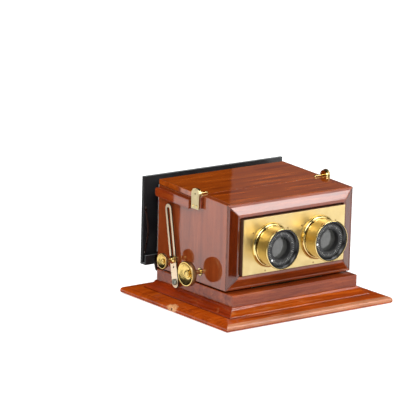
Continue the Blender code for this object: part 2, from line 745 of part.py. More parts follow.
def lid_pivots(body):
    """Blocks and round-topped brass plates that carry the lid's pins."""
    block_rear = LID_AXIS_Y + PIVOT_PLATE_HALF + 0.5 * MM
    block_front = LID_AXIS_Y - PIVOT_PLATE_HALF - 1.5 * MM
    plate_inner = BODY_X + BLOCK_OUT + GAP
    plate_outer = plate_inner + PLATE_THICK
    high = top_z(block_front) - GAP
    low = PIVOT_PLATE_LOW + 1.5 * MM
    plate_outline = [(LID_AXIS_Y - PIVOT_PLATE_HALF, PIVOT_PLATE_LOW),
                     (LID_AXIS_Y + PIVOT_PLATE_HALF, PIVOT_PLATE_LOW)]
    plate_outline += arc((LID_AXIS_Y, LID_AXIS_Z - 0.5 * MM), PIVOT_PLATE_HALF, 0, 180, 12)
    boss_outline = [(LID_AXIS_Y - BOSS_R, high + GAP), (LID_AXIS_Y + BOSS_R, high + GAP)]
    boss_outline += arc((LID_AXIS_Y, LID_AXIS_Z - 0.5 * MM), BOSS_R, 0, 180, 12)
    for side, name in ((-1, "left"), (1, "right")):
        ends = sorted((side * (BODY_X + GAP), side * (BODY_X + BLOCK_OUT)))
        box("pivot_block_" + name, (ends[0], block_front, low), (ends[1], block_rear, high), "mahogany",
            body)
        ends = sorted((side * plate_inner, side * plate_outer))
        plate = side_prism("pivot_plate_" + name, plate_outline, *ends, "brass_satin", body)
        ends = sorted((side * (BODY_X + GAP), side * (plate_inner + GAP)))
        bm = bmesh.new()
        add_side_prism(bm, boss_outline, *ends)
        boolean(plate, bm, "UNION")
        centre = (0, LID_AXIS_Y, LID_AXIS_Z)
        cut_rods(plate, [centre], (side, 0, 0), LID_PIN_R + GAP, BODY_X, plate_outer + MM)


def lid(lid_pivot):
    """The hinged rear part of the top, the mirror under it and the cranked pins that it swings on."""
    low = TOP_THICK
    outline = [(LID_FRONT, top_z(LID_FRONT)), (LID_FRONT, top_z(LID_FRONT) - low),
               (BODY_REAR, top_z(BODY_REAR) - low), (BODY_REAR, top_z(BODY_REAR))]
    board = side_prism("lid", outline, -BODY_X, BODY_X, "mahogany", lid_pivot, EDGE)
    leg_x = BODY_X - LID_PIN_REACH
    places = [(side * leg_x, LID_AXIS_Y, LID_AXIS_Z) for side in (-1, 1)]
    cut_rods(board, places, (0, 0, -1), LID_PIN_R + GAP, 0, 5 * MM)
    front, rear = LID_FRONT + 8 * MM, BODY_REAR - 6 * MM
    thick = 2 * MM
    corners = ((front, 0), (front, thick), (rear, thick), (rear, 0))
    outline = [(y, top_z(y) - TOP_THICK - GAP - down) for y, down in corners]
    side_prism("lid_mirror", outline, -INNER_X + 5 * MM, INNER_X - 5 * MM, "mirror", lid_pivot)
    lid_pins(leg_x, lid_pivot)


def lid_pins(leg_x, lid_pivot):
    """Two brass wires: out through the pivot plates, in over the lid, then bent down into it."""
    bend = 1.6 * MM
    outer = BODY_X + BLOCK_OUT + GAP + PLATE_THICK
    turn = arc((leg_x + bend, -bend), bend, 90, 180, 4)
    route = [(outer, 0)] + turn + [(leg_x, -4.6 * MM)]
    for side, name in ((-1, "left"), (1, "right")):
        wire = bpy.data.curves.new("lid_pin_" + name, "CURVE")
        wire.dimensions = "3D"
        wire.bevel_depth = LID_PIN_R
        wire.bevel_resolution = 2
        wire.use_fill_caps = True
        line = wire.splines.new("POLY")
        line.points.add(len(route) - 1)
        for point, (x, z) in zip(line.points, route):
            point.co = (side * x, 0, z, 1)
        wire.materials.append(material("brass"))
        made = bpy.data.objects.new("lid_pin_" + name, wire)
        bpy.context.scene.collection.objects.link(made)
        made.parent = lid_pivot


# Focusing gear and picture stage


def gear_outline():
    """A pinion's outline about the spindle, a tooth pointing straight down."""
    pitch = 2 * math.pi / PINION_TEETH
    half = pitch / 4 - BACKLASH / 2 / PINION_R
    points = []
    for tooth in range(PINION_TEETH):
        middle = -math.pi / 2 + tooth * pitch
        for radius, offset in ((PINION_R - TOOTH, -1.25), (PINION_R + TOOTH, -0.7),
                               (PINION_R + TOOTH, 0.7), (PINION_R - TOOTH, 1.25)):
            angle = middle + offset * half
            points.append((FOCUS_Y + radius * math.cos(angle), FOCUS_Z + radius * math.sin(angle)))
    return points


def focus_drive(spindle):
    """The spindle with its two pinions, and the knobs at its ends."""
    knob_back = BODY_X + FOCUS_KNOB_OUT
    across = rod_profile(SPINDLE_R, -knob_back - 2 * MM, knob_back + 2 * MM)
    rod = turned("focus_spindle", across, (0, FOCUS_Y, FOCUS_Z), (1, 0, 0), "steel", spindle, ROUND_SMALL)
    bm = bmesh.new()
    for x in (-RACK_X, RACK_X):
        add_side_prism(bm, gear_outline(), x - RACK_HALF, x + RACK_HALF)
    boolean(rod, bm, "UNION")
    bore = SPINDLE_R + GAP
    for side, name in ((-1, "left"), (1, "right")):
        profile = dished_knob(14.4 * MM, knob_back, 6.6 * MM, bore)
        profile += [(bore, knob_back + 2.3 * MM), (0, knob_back + 2.3 * MM)]
        turned("focus_knob_" + name, profile, (0, FOCUS_Y, FOCUS_Z), (side, 0, 0), "brass", spindle)


def spindle_bushes(body):
    profile = tube_profile(SPINDLE_R + GAP, 4 * MM, INNER_X, BODY_X + 0.6 * MM)
    for side, name in ((-1, "left"), (1, "right")):
        turned("spindle_bush_" + name, profile, (0, FOCUS_Y, FOCUS_Z), (side, 0, 0), "brass", body,
               ROUND_SMALL)


def rack_outline():
    """A toothed bar under the pinion that runs back to the stage. A gap between teeth is under it."""
    pitch_z = FOCUS_Z - PINION_R
    pitch = 2 * math.pi * PINION_R / PINION_TEETH
    half = pitch / 4 - BACKLASH / 2
    root, tip = pitch_z - TOOTH - 0.1 * MM, pitch_z + TOOTH - 0.1 * MM
    floor = BODY_BOTTOM + BOTTOM_THICK + GAP
    teeth_ahead, teeth_behind = 14, 4
    points = [(FOCUS_Y - (teeth_ahead + 1) * pitch, floor), (FOCUS_Y - (teeth_ahead + 1) * pitch, root)]
    for tooth in range(-teeth_ahead, teeth_behind):
        middle = FOCUS_Y + (tooth + 0.5) * pitch
        points += [(middle - 1.25 * half, root), (middle - 0.7 * half, tip),
                   (middle + 0.7 * half, tip), (middle + 1.25 * half, root)]
    rear = LEDGE_FRONT - GAP
    return points + [(rear, root), (rear, floor)]


def rack_guide(body):
    """A brass strap across the bottom board that keeps both racks down."""
    floor = BODY_BOTTOM + BOTTOM_THICK + GAP
    rack_top = FOCUS_Z - PINION_R + GAP
    half = RACK_HALF + GAP
    wall = 2 * MM
    outline = []
    for x in (-RACK_X, RACK_X):
        outline += [(x - half, floor), (x - half, rack_top), (x + half, rack_top), (x + half, floor)]
    end = RACK_X + half + wall
    outline = [(-end, floor)] + outline + [(end, floor), (end, rack_top + wall), (-end, rack_top + wall)]
    start = BODY_REAR - 14 * MM
    bm = bmesh.new()
    near = [bm.verts.new((x, start, z)) for x, z in outline]
    far = [bm.verts.new((x, start + 7 * MM, z)) for x, z in outline]
    bm.faces.new(near)
    bm.faces.new(list(reversed(far)))
    for i, vertex in enumerate(near):
        after = (i + 1) % len(near)
        bm.faces.new((vertex, far[i], far[after], near[after]))
    finish("rack_guide", bm, "brass", body)


def stage(slide):
    """The black picture frame with its window, ground glass, card ledge and springs."""
    rear = STAGE_FRONT + STAGE_THICK
    frame = box("stage_frame", (-STAGE_X, STAGE_FRONT, STAGE_BOTTOM), (STAGE_X, rear, STAGE_TOP),
                "black_lacquer", slide, FINE_EDGE)
    cut_box(frame, (-WINDOW_X, STAGE_FRONT - MM, WINDOW_LOW), (WINDOW_X, rear + MM, WINDOW_HIGH))
    pane_front = rear - GLASS_THICK - 2 * GAP
    cut_box(frame, (-WINDOW_X - REBATE, pane_front - GAP, WINDOW_LOW - REBATE),
            (WINDOW_X + REBATE, rear + MM, WINDOW_HIGH + REBATE))
    pane_x = WINDOW_X + REBATE - GAP
    box("ground_glass", (-pane_x, pane_front, WINDOW_LOW - REBATE + GAP),
        (pane_x, pane_front + GLASS_THICK, WINDOW_HIGH + REBATE - GAP), "ground_glass", slide, 0)
    card_ledge(slide)
    card_springs(slide)
    side_prism_pair("focus_rack", rack_outline(), RACK_X - RACK_HALF, RACK_X + RACK_HALF, "brass",
                    slide)


def card_ledge(slide):
    """A channel under the frame that the picture card stands in, and the curved feet in front of it."""
    rear = STAGE_FRONT + STAGE_THICK
    lip = 1.6 * MM
    floor = STAGE_BOTTOM - GAP
    outline = [(LEDGE_FRONT, LEDGE_LOW), (rear, LEDGE_LOW), (rear, floor), (LEDGE_FRONT + lip, floor),
               (LEDGE_FRONT + lip, LEDGE_HIGH), (LEDGE_FRONT, LEDGE_HIGH)]
    side_prism("card_ledge", outline, -STAGE_X, STAGE_X, "black_lacquer", slide, FINE_EDGE)
    thick = 1.8 * MM
    reach, drop = 5.4 * MM, 18 * MM
    toe = LEDGE_FRONT - GAP - reach
    outer = [(toe + reach * y, LEDGE_HIGH + drop * z) for y, z in arc((0, 0), 1, 0, -85, 8)]
    inner = [(toe + (reach - thick) * y, LEDGE_HIGH + (drop - thick) * z)
             for y, z in arc((0, 0), 1, -85, 0, 8)]
    side_prism_pair("stage_foot", outer + inner, BODY_X - 6.5 * MM, BODY_X - 0.5 * MM, "steel", slide)


def card_springs(slide):
    """Bowed spring strips, riveted flat at both ends, that press the card to the frame."""
    thick = 0.5 * MM
    base = STAGE_FRONT - GAP
    low, high = BODY_BOTTOM + 17 * MM, BODY_BOTTOM + 66 * MM
    foot = 4 * MM
    steps = 10
    front = []
    for i in range(steps + 1):
        share = i / steps
        bow = SPRING_BOW * math.sin(math.pi * share) ** 1.5
        front.append((base - thick - bow, low + (high - low) * share))
    back = [(y + thick, z) for y, z in reversed(front)]
    outline = [(base - thick, low - foot)] + front + [(base - thick, high + foot), (base, high + foot)]
    outline += back + [(base, low - foot)]
    side_prism_pair("card_spring", outline, BODY_X + 6.6 * MM, BODY_X + 8.8 * MM, "steel", slide)


def build():
    clear_scene()
    body = pivot("body_tilt_axis", (0, HINGE_Y, HINGE_Z))
    arm = pivot("arm_swing_axis", (-ARM_INNER, *ARM_PIVOT))
    knob = pivot("clamp_knob_axis", (-BODY_X, *arm_point(STUD_DISTANCE)), body)
    lid_pivot = pivot("lid_axis", (0, LID_AXIS_Y, LID_AXIS_Z), body)
    spindle = pivot("focus_axis", (0, FOCUS_Y, FOCUS_Z), body)
    slide = pivot("stage_slide_origin", (0, STAGE_FRONT, BODY_BOTTOM), body)
    base_board()
    base_moulding()
    plinth()
    rest_pad()
    tilt_hinge(body)
    tilt_arm(arm)
    clamp(body, knob)
    side_panels(body)
    carcass_boards(body)
    front_frame(body)
    lens_plate(body)
    eyepiece(-1, "left", body)
    eyepiece(1, "right", body)
    septum(body)
    side_rails(body)
    lid_pivots(body)
    lid(lid_pivot)
    focus_drive(spindle)
    spindle_bushes(body)
    rack_guide(body)
    stage(slide)


build()
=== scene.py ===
"""Looks of a tabletop stereo viewer: French-polished mahogany, lacquered brass and black japanning.

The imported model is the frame. The round brass pieces, the eyepieces, the knobs and the base's mouldings
are made finely here, the small fixings are added, and every surface gets a procedural material.
Metres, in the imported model's frame: +Z up, the eyepieces face -Y.
"""

import math

import bmesh
import bpy
from mathutils import Matrix, Vector


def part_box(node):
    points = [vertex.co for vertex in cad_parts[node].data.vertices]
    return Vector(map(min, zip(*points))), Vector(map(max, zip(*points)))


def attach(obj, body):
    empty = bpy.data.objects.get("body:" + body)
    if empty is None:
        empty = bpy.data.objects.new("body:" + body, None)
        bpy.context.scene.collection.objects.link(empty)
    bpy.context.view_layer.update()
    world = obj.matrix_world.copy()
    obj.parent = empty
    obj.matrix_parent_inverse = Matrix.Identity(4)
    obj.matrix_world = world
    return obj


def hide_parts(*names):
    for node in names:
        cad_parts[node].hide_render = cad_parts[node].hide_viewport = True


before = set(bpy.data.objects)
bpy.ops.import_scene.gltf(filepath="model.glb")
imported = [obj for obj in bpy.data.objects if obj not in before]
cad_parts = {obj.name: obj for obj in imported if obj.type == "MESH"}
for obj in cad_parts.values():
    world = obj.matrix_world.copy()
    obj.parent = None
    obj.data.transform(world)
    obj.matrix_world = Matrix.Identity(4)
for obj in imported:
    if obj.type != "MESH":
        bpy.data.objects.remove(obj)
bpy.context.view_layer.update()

MM = 0.001
SIDES = {"left": -1, "right": 1}
CORNERS = ((-1, -1), (1, -1), (1, 1), (-1, 1))

# Camera
LOOK_AT = Vector((-49.1, 46.8, 112.2)) * MM
CAMERA_DISTANCE = 3.7
CAMERA_AZIMUTH = math.radians(-37.48)
CAMERA_ELEVATION = math.radians(13.47)
CAMERA_ROLL = math.radians(1.54)
CAMERA_LENS = 291.2
CAMERA_SENSOR = 36
CAMERA_REACH = 100

# Studio. The floor glows by distance from its middle, the surround by how far up it lies; each has its
# brightness at the start and at the end of its reach.
FLOOR_COLOUR = (0.8, 0.8, 0.8, 1)
WHITE = (1, 1, 1, 1)
FLOOR_SIZE = 20
FLOOR_DROP = 0.2 * MM
FLOOR_GLOW = (0.5, 1.0)
FLOOR_GLOW_REACH = (0.3, 1.8)
SURROUND = (0.13, 0.03)
SURROUND_REACH = (0.28, 0.5)
LAMPS_AIM_AT = Vector((0, 0, 80 * MM))
CARD_COLOUR = (0.004, 0.003, 0.003, 1)
SKIRT_WIDTH = 12 * MM
DARK_CARDS = (
    # name, start, end, low, high
    ("card_rear", (-0.154, 1.388), (0.605, 0.805), 0.15, 0.75),
    ("card_rear_left", (-0.18, 0.149), (-0.18, 0.75), 0.0, 0.5),
    ("card_front", (-0.26, -0.25), (-0.03, -0.25), 0.0, 0.22),
)
SOFT_BOXES = (
    # name, direction from the object, distance, width, height, power, seen in reflections
    ("key_front_left", (-0.5, -0.65, 0.75), 1.6, 1.0, 1.0, 19, True),
    ("overhead_front", (0.32, -0.42, 0.85), 1.5, 0.7, 0.7, 9, True),
    ("front_right", (0.62, -0.76, 0.443), 1.3, 0.8, 0.3, 6, True),
    ("fill_rear_left", (-0.62, 0.74, 0.9), 1.4, 0.9, 0.9, 16, False),
)

# Mesh fineness
ROUND = 128
ROUND_TINY = 32
SHARP_ANGLE = math.radians(38)

# Knurling of a turned piece: teeth, depth, and where it starts and ends along the axis
NO_KNURL = (0, 0.0, math.inf, -math.inf)

# The way the eyepieces face
FORWARD = (0, -1, 0)


# Frame measures


def middle(node):
    low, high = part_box(node)
    return (low + high) / 2


# Node trees


def add(tree, kind, inputs=None, **settings):
    """Adds a shader node. Inputs are values or other nodes' output sockets, by name or number."""
    made = tree.nodes.new("ShaderNode" + kind)
    for key, value in settings.items():
        setattr(made, key, value)
    for socket, value in (inputs or {}).items():
        if isinstance(value, bpy.types.NodeSocket):
            tree.links.new(value, made.inputs[socket])
        else:
            made.inputs[socket].default_value = value
    return made


def new_material(name, **sockets):
    """A Principled material; keyword names are its sockets with _ for spaces."""
    made = bpy.data.materials.new(name)
    made.use_nodes = True
    shader = made.node_tree.nodes["Principled BSDF"]
    for socket, value in sockets.items():
        shader.inputs[socket.replace("_", " ")].default_value = value
    return made, made.node_tree, shader


def connect(tree, shader, **sockets):
    """Feeds a shader's sockets from other nodes; keyword names are its sockets with _ for spaces."""
    for socket, source in sockets.items():
        tree.links.new(source, shader.inputs[socket.replace("_", " ")])


def place(tree, scale=(1, 1, 1), offset=(0, 0, 0)):
    """Object coordinates in metres, scaled axis by axis."""
    coordinates = add(tree, "TexCoord")
    mapping = add(tree, "Mapping", {"Vector": coordinates.outputs["Object"]})
    mapping.inputs["Scale"].default_value = scale
    mapping.inputs["Location"].default_value = offset
    return mapping.outputs["Vector"]


def noise(tree, vector, scale, detail=4.0, roughness=0.55, distortion=0.0):
    made = add(tree, "TexNoise", {"Vector": vector, "Scale": scale, "Detail": detail,
                                  "Roughness": roughness, "Distortion": distortion})
    return made.outputs[0]


def ramp(tree, factor, stops, smooth=False):
    """A colour ramp. Stops hold (position, colour or grey level)."""
    made = add(tree, "ValToRGB", {"Fac": factor})
    elements = made.color_ramp.elements
    made.color_ramp.interpolation = "EASE" if smooth else "LINEAR"
    while len(elements) < len(stops):
        elements.new(0.5)
    for element, (position, colour) in zip(elements, stops):
        element.position = position
        element.color = (*colour, 1) if isinstance(colour, tuple) else (colour, colour, colour, 1)
    return made.outputs["Color"]


def mix(tree, factor, one, two, blend="MIX"):
    """Mixes two colours."""
    made = add(tree, "Mix", data_type="RGBA", blend_type=blend)
    for socket, value in ((0, factor), (6, one), (7, two)):
        if isinstance(value, bpy.types.NodeSocket):
            tree.links.new(value, made.inputs[socket])
        elif isinstance(value, tuple):
            made.inputs[socket].default_value = (*value, 1)
        else:
            made.inputs[socket].default_value = value
    return made.outputs[2]


def calculate(tree, operation, one, two=0.5):
    return add(tree, "Math", {0: one, 1: two}, operation=operation).outputs[0]


def length(tree, vector):
    return add(tree, "VectorMath", {0: vector}, operation="LENGTH").outputs["Value"]


def bump(tree, height, strength, distance, normal=None):
    made = add(tree, "Bump", {"Height": height, "Strength": strength, "Distance": distance})
    if normal is not None:
        tree.links.new(normal, made.inputs["Normal"])
    return made.outputs["Normal"]


def facing(tree, axis):
    """How far a face looks along an axis, -1 to 1."""
    normal = add(tree, "NewGeometry").outputs["Normal"]
    return add(tree, "SeparateXYZ", {0: normal}).outputs[axis]


def map_range(tree, value, source, target=(0.0, 1.0)):
    """Maps a value from one (first, last) to another, without going past either end."""
    made = add(tree, "MapRange", {"Value": value, "From Min": source[0], "From Max": source[1],
                                  "To Min": target[0], "To Max": target[1]})
    return made.outputs["Result"]


def edge_wear(tree, radius, low=0.02, high=0.35):
    """A softly rounded normal, and a mask that is 1 on the edges."""
    rounded = add(tree, "Bevel", {"Radius": radius}, samples=6).outputs["Normal"]
    flat = add(tree, "NewGeometry").outputs["Normal"]
    dot = add(tree, "VectorMath", {0: rounded, 1: flat}, operation="DOT_PRODUCT").outputs["Value"]
    turn = calculate(tree, "SUBTRACT", 1.0, dot)
    return rounded, map_range(tree, turn, (low, high))


# Materials

GRAIN = {"x": (1, 14, 14), "y": (14, 1, 14), "z": (14, 14, 1)}
STREAK_SHIFT = (3, 5, 7)
PORE_STRETCH = 9
BRUSHING = {"x": (1, 40, 40), "y": (40, 1, 40), "z": (40, 40, 1), None: (12, 12, 12)}
RUBBED_WOOD = (0.62, 0.3, 0.17)
BARE_WOOD = ((0.4, 0.15, 0.045), (0.78, 0.42, 0.2))
BARE_ROUGHNESS = (0.75, 0.75, 0.75)


def wood(name, axis, dark, mid, light, worn=0.45, patch=None, coat=1.0, streak=0.2, haze=0.05):
    """Polished mahogany with its grain along an axis, in a dark, a middle and a light tone.

    Worn is how far the edges are rubbed, patch a (centre, radius) of bare wood, coat the weight of the
    polish, streak the strength of the fine streaks and haze the roughness of the polish.
    """
    made, tree, shader = new_material(name, Coat_Weight=coat, Coat_Roughness=haze, Coat_IOR=1.65,
                                      Specular_IOR_Level=0.0)
    along = GRAIN[axis]
    figure = noise(tree, place(tree, along), 9, detail=5, roughness=0.6, distortion=0.6)
    streaks = noise(tree, place(tree, along, STREAK_SHIFT), 34, roughness=0.65, distortion=0.25)
    pores = noise(tree, place(tree, [min(a, PORE_STRETCH) for a in along]), 300, detail=2, roughness=0.7)
    colour = ramp(tree, figure, [(0.3, dark), (0.5, mid), (0.72, light)], True)
    streak_tone = ramp(tree, streaks, [(0.3, 1 - streak), (0.5, 1.0), (0.75, 1 + streak / 2)])
    colour = mix(tree, 1.0, colour, streak_tone, "MULTIPLY")
    pore_tone = ramp(tree, pores, [(0.33, 0.5), (0.43, 1.0)])
    colour = mix(tree, 0.8, colour, pore_tone, "MULTIPLY")
    clouds = noise(tree, place(tree), 22, detail=3)
    colour = mix(tree, 1.0, colour, ramp(tree, clouds, [(0.3, 0.86), (0.7, 1.1)]), "MULTIPLY")
    rounded, edges = edge_wear(tree, 0.9 * MM)
    scuffs = noise(tree, place(tree), 260, roughness=0.7)
    rubbed = calculate(tree, "MULTIPLY", edges, ramp(tree, scuffs, [(0.42, 0.0), (0.62, worn)]))
    colour = mix(tree, rubbed, colour, RUBBED_WOOD)
    roughness = ramp(tree, clouds, [(0.3, 0.26), (0.7, 0.42)])
    if patch:
        colour, roughness = bare_patch(tree, colour, roughness, *patch)
    ripple = noise(tree, place(tree), 38, detail=2, roughness=0.4)
    normal = bump(tree, pores, strength=0.08, distance=0.05 * MM, normal=rounded)
    coat_normal = bump(tree, ripple, strength=0.05, distance=1.2 * MM, normal=rounded)
    connect(tree, shader, Base_Color=colour, Roughness=roughness, Normal=normal, Coat_Normal=coat_normal)
    return made


def bare_patch(tree, colour, roughness, centre, radius):
    """Pale wood where the polish has been knocked off, wider than high, with a ragged outline."""
    stretch = (1.0, 1.0, 0.55)
    scale = [1 / radius / s for s in stretch]
    offset = [-c / radius / s for c, s in zip(centre, stretch)]
    distance = length(tree, place(tree, scale, offset))
    ragged = noise(tree, place(tree), 420, roughness=0.7)
    reach = calculate(tree, "ADD", distance, calculate(tree, "MULTIPLY", ragged, 1.1))
    mask = map_range(tree, reach, (1.45, 1.25))
    tan = ramp(tree, ragged, [(0.3, BARE_WOOD[0]), (0.7, BARE_WOOD[1])])
    return mix(tree, mask, colour, tan), mix(tree, mask, roughness, BARE_ROUGHNESS)


def metal(name, colour, tarnish, roughness, brushed=None, brush_strength=0.25, spots=0.35, rim=1.0):
    """Brass, bronze or steel: slow tarnish clouds, fine brushing along an axis and small dark spots.

    Rim is a painted shade: the tone that darkens the faces that don't look sideways, such as a slot's walls,
    standing in for the shade and dark reflections in the slot.
    """
    made, tree, shader = new_material(name, Metallic=1.0)
    clouds = noise(tree, place(tree), 60, detail=5, roughness=0.6)
    tone = mix(tree, ramp(tree, clouds, [(0.35, 0.0), (0.72, 0.55)]), colour, tarnish)
    specks = noise(tree, place(tree), 900, detail=2, roughness=0.5)
    speck_mask = ramp(tree, specks, [(0.26, spots), (0.31, 0.0)])
    tone = mix(tree, speck_mask, tone, tuple(c * 0.3 for c in tarnish))
    rubbed = calculate(tree, "MULTIPLY", edge_wear(tree, 0.35 * MM, low=0.08)[1], 0.5)
    tone = mix(tree, rubbed, tone, tuple(min(1, c * 1.25) for c in colour))
    smears = noise(tree, place(tree), 140, roughness=0.6)
    rough = ramp(tree, smears, [(0.3, max(0.02, roughness - 0.06)), (0.7, roughness + 0.08)])
    # Painted shade: faces that don't look sideways are darkened, for the shade and dark reflections in a
    # slot.
    if rim < 1:
        sideways = calculate(tree, "ABSOLUTE", facing(tree, "X"))
        tone = mix(tree, 1.0, tone, ramp(tree, sideways, [(0.5, rim), (0.9, 1.0)]), "MULTIPLY")
    lines = noise(tree, place(tree, BRUSHING[brushed]), 90, detail=3, roughness=0.6)
    normal = bump(tree, lines, strength=brush_strength, distance=0.03 * MM)
    connect(tree, shader, Base_Color=tone, Roughness=rough, Normal=normal)
    return made


def painted(name, colour, worn_colour, roughness, worn=0.8, coat=0.5, dust=0.25, settled=0.0):
    """Japanning or paint, worn to a second colour along its edges and under a film of dust.

    Settled is how much dust lies on the faces that look up.
    """
    made, tree, shader = new_material(name, Coat_Weight=coat, Coat_Roughness=0.12)
    rounded, edges = edge_wear(tree, 0.8 * MM)
    scuffs = noise(tree, place(tree), 320, detail=5, roughness=0.7)
    rubbed = calculate(tree, "MULTIPLY", edges, ramp(tree, scuffs, [(0.4, 0.15), (0.6, worn)]))
    film = noise(tree, place(tree), 45, detail=5, roughness=0.65)
    tone = mix(tree, ramp(tree, film, [(0.35, 0.0), (0.75, dust)]), colour, worn_colour)
    tone = mix(tree, rubbed, tone, worn_colour)
    upward = ramp(tree, facing(tree, "Z"), [(0.6, 0.0), (0.95, settled)])
    lying = calculate(tree, "MULTIPLY", upward, ramp(tree, film, [(0.2, 0.6), (0.7, 1.0)]))
    tone = mix(tree, lying, tone, worn_colour)
    rough = ramp(tree, film, [(0.3, roughness), (0.7, roughness + 0.2)])
    normal = bump(tree, scuffs, strength=0.12, distance=0.04 * MM, normal=rounded)
    connect(tree, shader, Base_Color=tone, Roughness=rough, Normal=normal)
    return made


def felt(name):
    made, tree, shader = new_material(name, Roughness=0.95, Sheen_Weight=0.6, Sheen_Roughness=0.5)
    fibres = noise(tree, place(tree), 1400, roughness=0.7)
    tone = ramp(tree, fibres, [(0.3, (0.02, 0.045, 0.025)), (0.7, (0.06, 0.12, 0.07))])
    normal = bump(tree, fibres, strength=0.6, distance=0.3 * MM)
    connect(tree, shader, Base_Color=tone, Normal=normal)
    return made


def lens_glass(name):
    """A lens that looks mid grey against the dark inside: its grey base colour is a painted reflection,
    standing in for the light the glass reflects and lets through.
    """
    made, tree, shader = new_material(name, IOR=1.52, Coat_Weight=0.6, Coat_Roughness=0.02,
                                      Transmission_Weight=0.25)
    haze = noise(tree, place(tree), 90, roughness=0.6)
    tone = ramp(tree, haze, [(0.3, (0.085, 0.086, 0.08)), (0.7, (0.105, 0.105, 0.098))])
    connect(tree, shader, Base_Color=tone, Roughness=ramp(tree, haze, [(0.3, 0.02), (0.7, 0.08)]))
    return made


def frosted_glass(name):
    made, tree, shader = new_material(name, IOR=1.5, Transmission_Weight=0.35, Subsurface_Weight=0.2,
                                      Subsurface_Scale=0.004)
    grind = noise(tree, place(tree), 1600, detail=3, roughness=0.6)
    smudges = noise(tree, place(tree), 30, roughness=0.6)
    tone = ramp(tree, smudges, [(0.3, (0.62, 0.66, 0.65)), (0.7, (0.8, 0.83, 0.81))])
    rough = ramp(tree, smudges, [(0.3, 0.5), (0.7, 0.68)])
    normal = bump(tree, grind, strength=0.3, distance=0.05 * MM)
    connect(tree, shader, Base_Color=tone, Roughness=rough, Normal=normal)
    return made


def mirror_glass(name):
    made, tree, shader = new_material(name, Metallic=1.0)
    foxing = noise(tree, place(tree), 120, detail=5, roughness=0.7)
    tone = ramp(tree, foxing, [(0.3, (0.5, 0.47, 0.42)), (0.38, (0.86, 0.87, 0.86))])
    connect(tree, shader, Base_Color=tone, Roughness=ramp(tree, foxing, [(0.3, 0.2), (0.4, 0.03)]))
    return made


BASE_LOW, BASE_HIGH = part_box("base_board")
MORTISE = Vector((BASE_LOW.x, 1.1 * MM, 5.2 * MM))

AMBER = ((0.15, 0.02, 0.002), (0.26, 0.045, 0.003), (0.38, 0.08, 0.008))
ORANGE = ((0.2, 0.022, 0.001), (0.33, 0.047, 0.002), (0.46, 0.085, 0.006))
# Pale peach for the long nosings: partly polish worn thin, partly a painted highlight.
RUBBED_AND_HIGHLIT = ((0.36, 0.11, 0.045), (0.5, 0.19, 0.09), (0.62, 0.28, 0.15))
FLAME = ((0.13, 0.011, 0.002), (0.24, 0.025, 0.003), (0.35, 0.052, 0.005))
ROSE = ((0.17, 0.028, 0.006), (0.21, 0.038, 0.008), (0.25, 0.05, 0.012))
# Much darker red for the upright front rails: painted shade, for the dark reflection and shadow on the left
# rail.
DEEP_PAINTED_SHADE = ((0.05, 0.006, 0.002), (0.1, 0.014, 0.002), (0.16, 0.028, 0.004))
RED = ((0.085, 0.009, 0.002), (0.17, 0.021, 0.003), (0.25, 0.042, 0.006))
PALE = ((0.13, 0.018, 0.004), (0.22, 0.035, 0.006), (0.33, 0.068, 0.012))

MAHOGANY_TOP = wood("mahogany_top", "x", *AMBER, streak=0.12)
MAHOGANY_SIDE = wood("mahogany_side", "z", *ROSE, streak=0.07)
MAHOGANY_FRAME_X = wood("mahogany_frame_x", "x", *PALE)
MAHOGANY_FRAME_Z = wood("mahogany_frame_z", "z", *DEEP_PAINTED_SHADE)
MAHOGANY_RAIL = wood("mahogany_rail", "y", *RED)
MAHOGANY_BASE_X = wood("mahogany_base_x", "x", *ORANGE, worn=0.6, patch=(MORTISE, 10.5 * MM))
MAHOGANY_NOSE_HIGHLIT = wood("mahogany_nose_highlit", "x", *RUBBED_AND_HIGHLIT, worn=0.6, haze=0.26)
MAHOGANY_BASE_Y = wood("mahogany_base_y", "y", *FLAME, worn=0.6)
MAHOGANY_PLINTH = wood("mahogany_plinth", "x", *PALE, coat=0.6)
MAHOGANY_INSIDE = wood("mahogany_inside", "x", *RED, worn=0.2, coat=0.1)
BRASS = metal("brass_polished", (0.76, 0.6, 0.26), (0.5, 0.36, 0.12), 0.14, brush_strength=0.05, spots=0.05)
BRASS_PLATE = metal("brass_plate", (0.67, 0.53, 0.26), (0.58, 0.43, 0.18), 0.4, "x", spots=0.0)
BRASS_KNOB = metal("brass_knob", (0.68, 0.5, 0.17), (0.5, 0.33, 0.09), 0.2, brush_strength=0.02, spots=0.0)
# The tilt arm's faces that don't look sideways get a painted shade, for the shade and dark reflections in its
# slot.
BRASS_PALE = metal("brass_pale", (0.86, 0.7, 0.5), (0.72, 0.56, 0.38), 0.36, "z",
                   brush_strength=0.3, spots=0.3, rim=0.12)
BRASS_DARK = metal("brass_tarnished", (0.42, 0.28, 0.13), (0.22, 0.13, 0.055), 0.36, brush_strength=0.1)
BRASS_KHAKI = metal("brass_khaki", (0.62, 0.52, 0.3), (0.36, 0.29, 0.16), 0.4, "z",
                    brush_strength=0.3, spots=0.5)
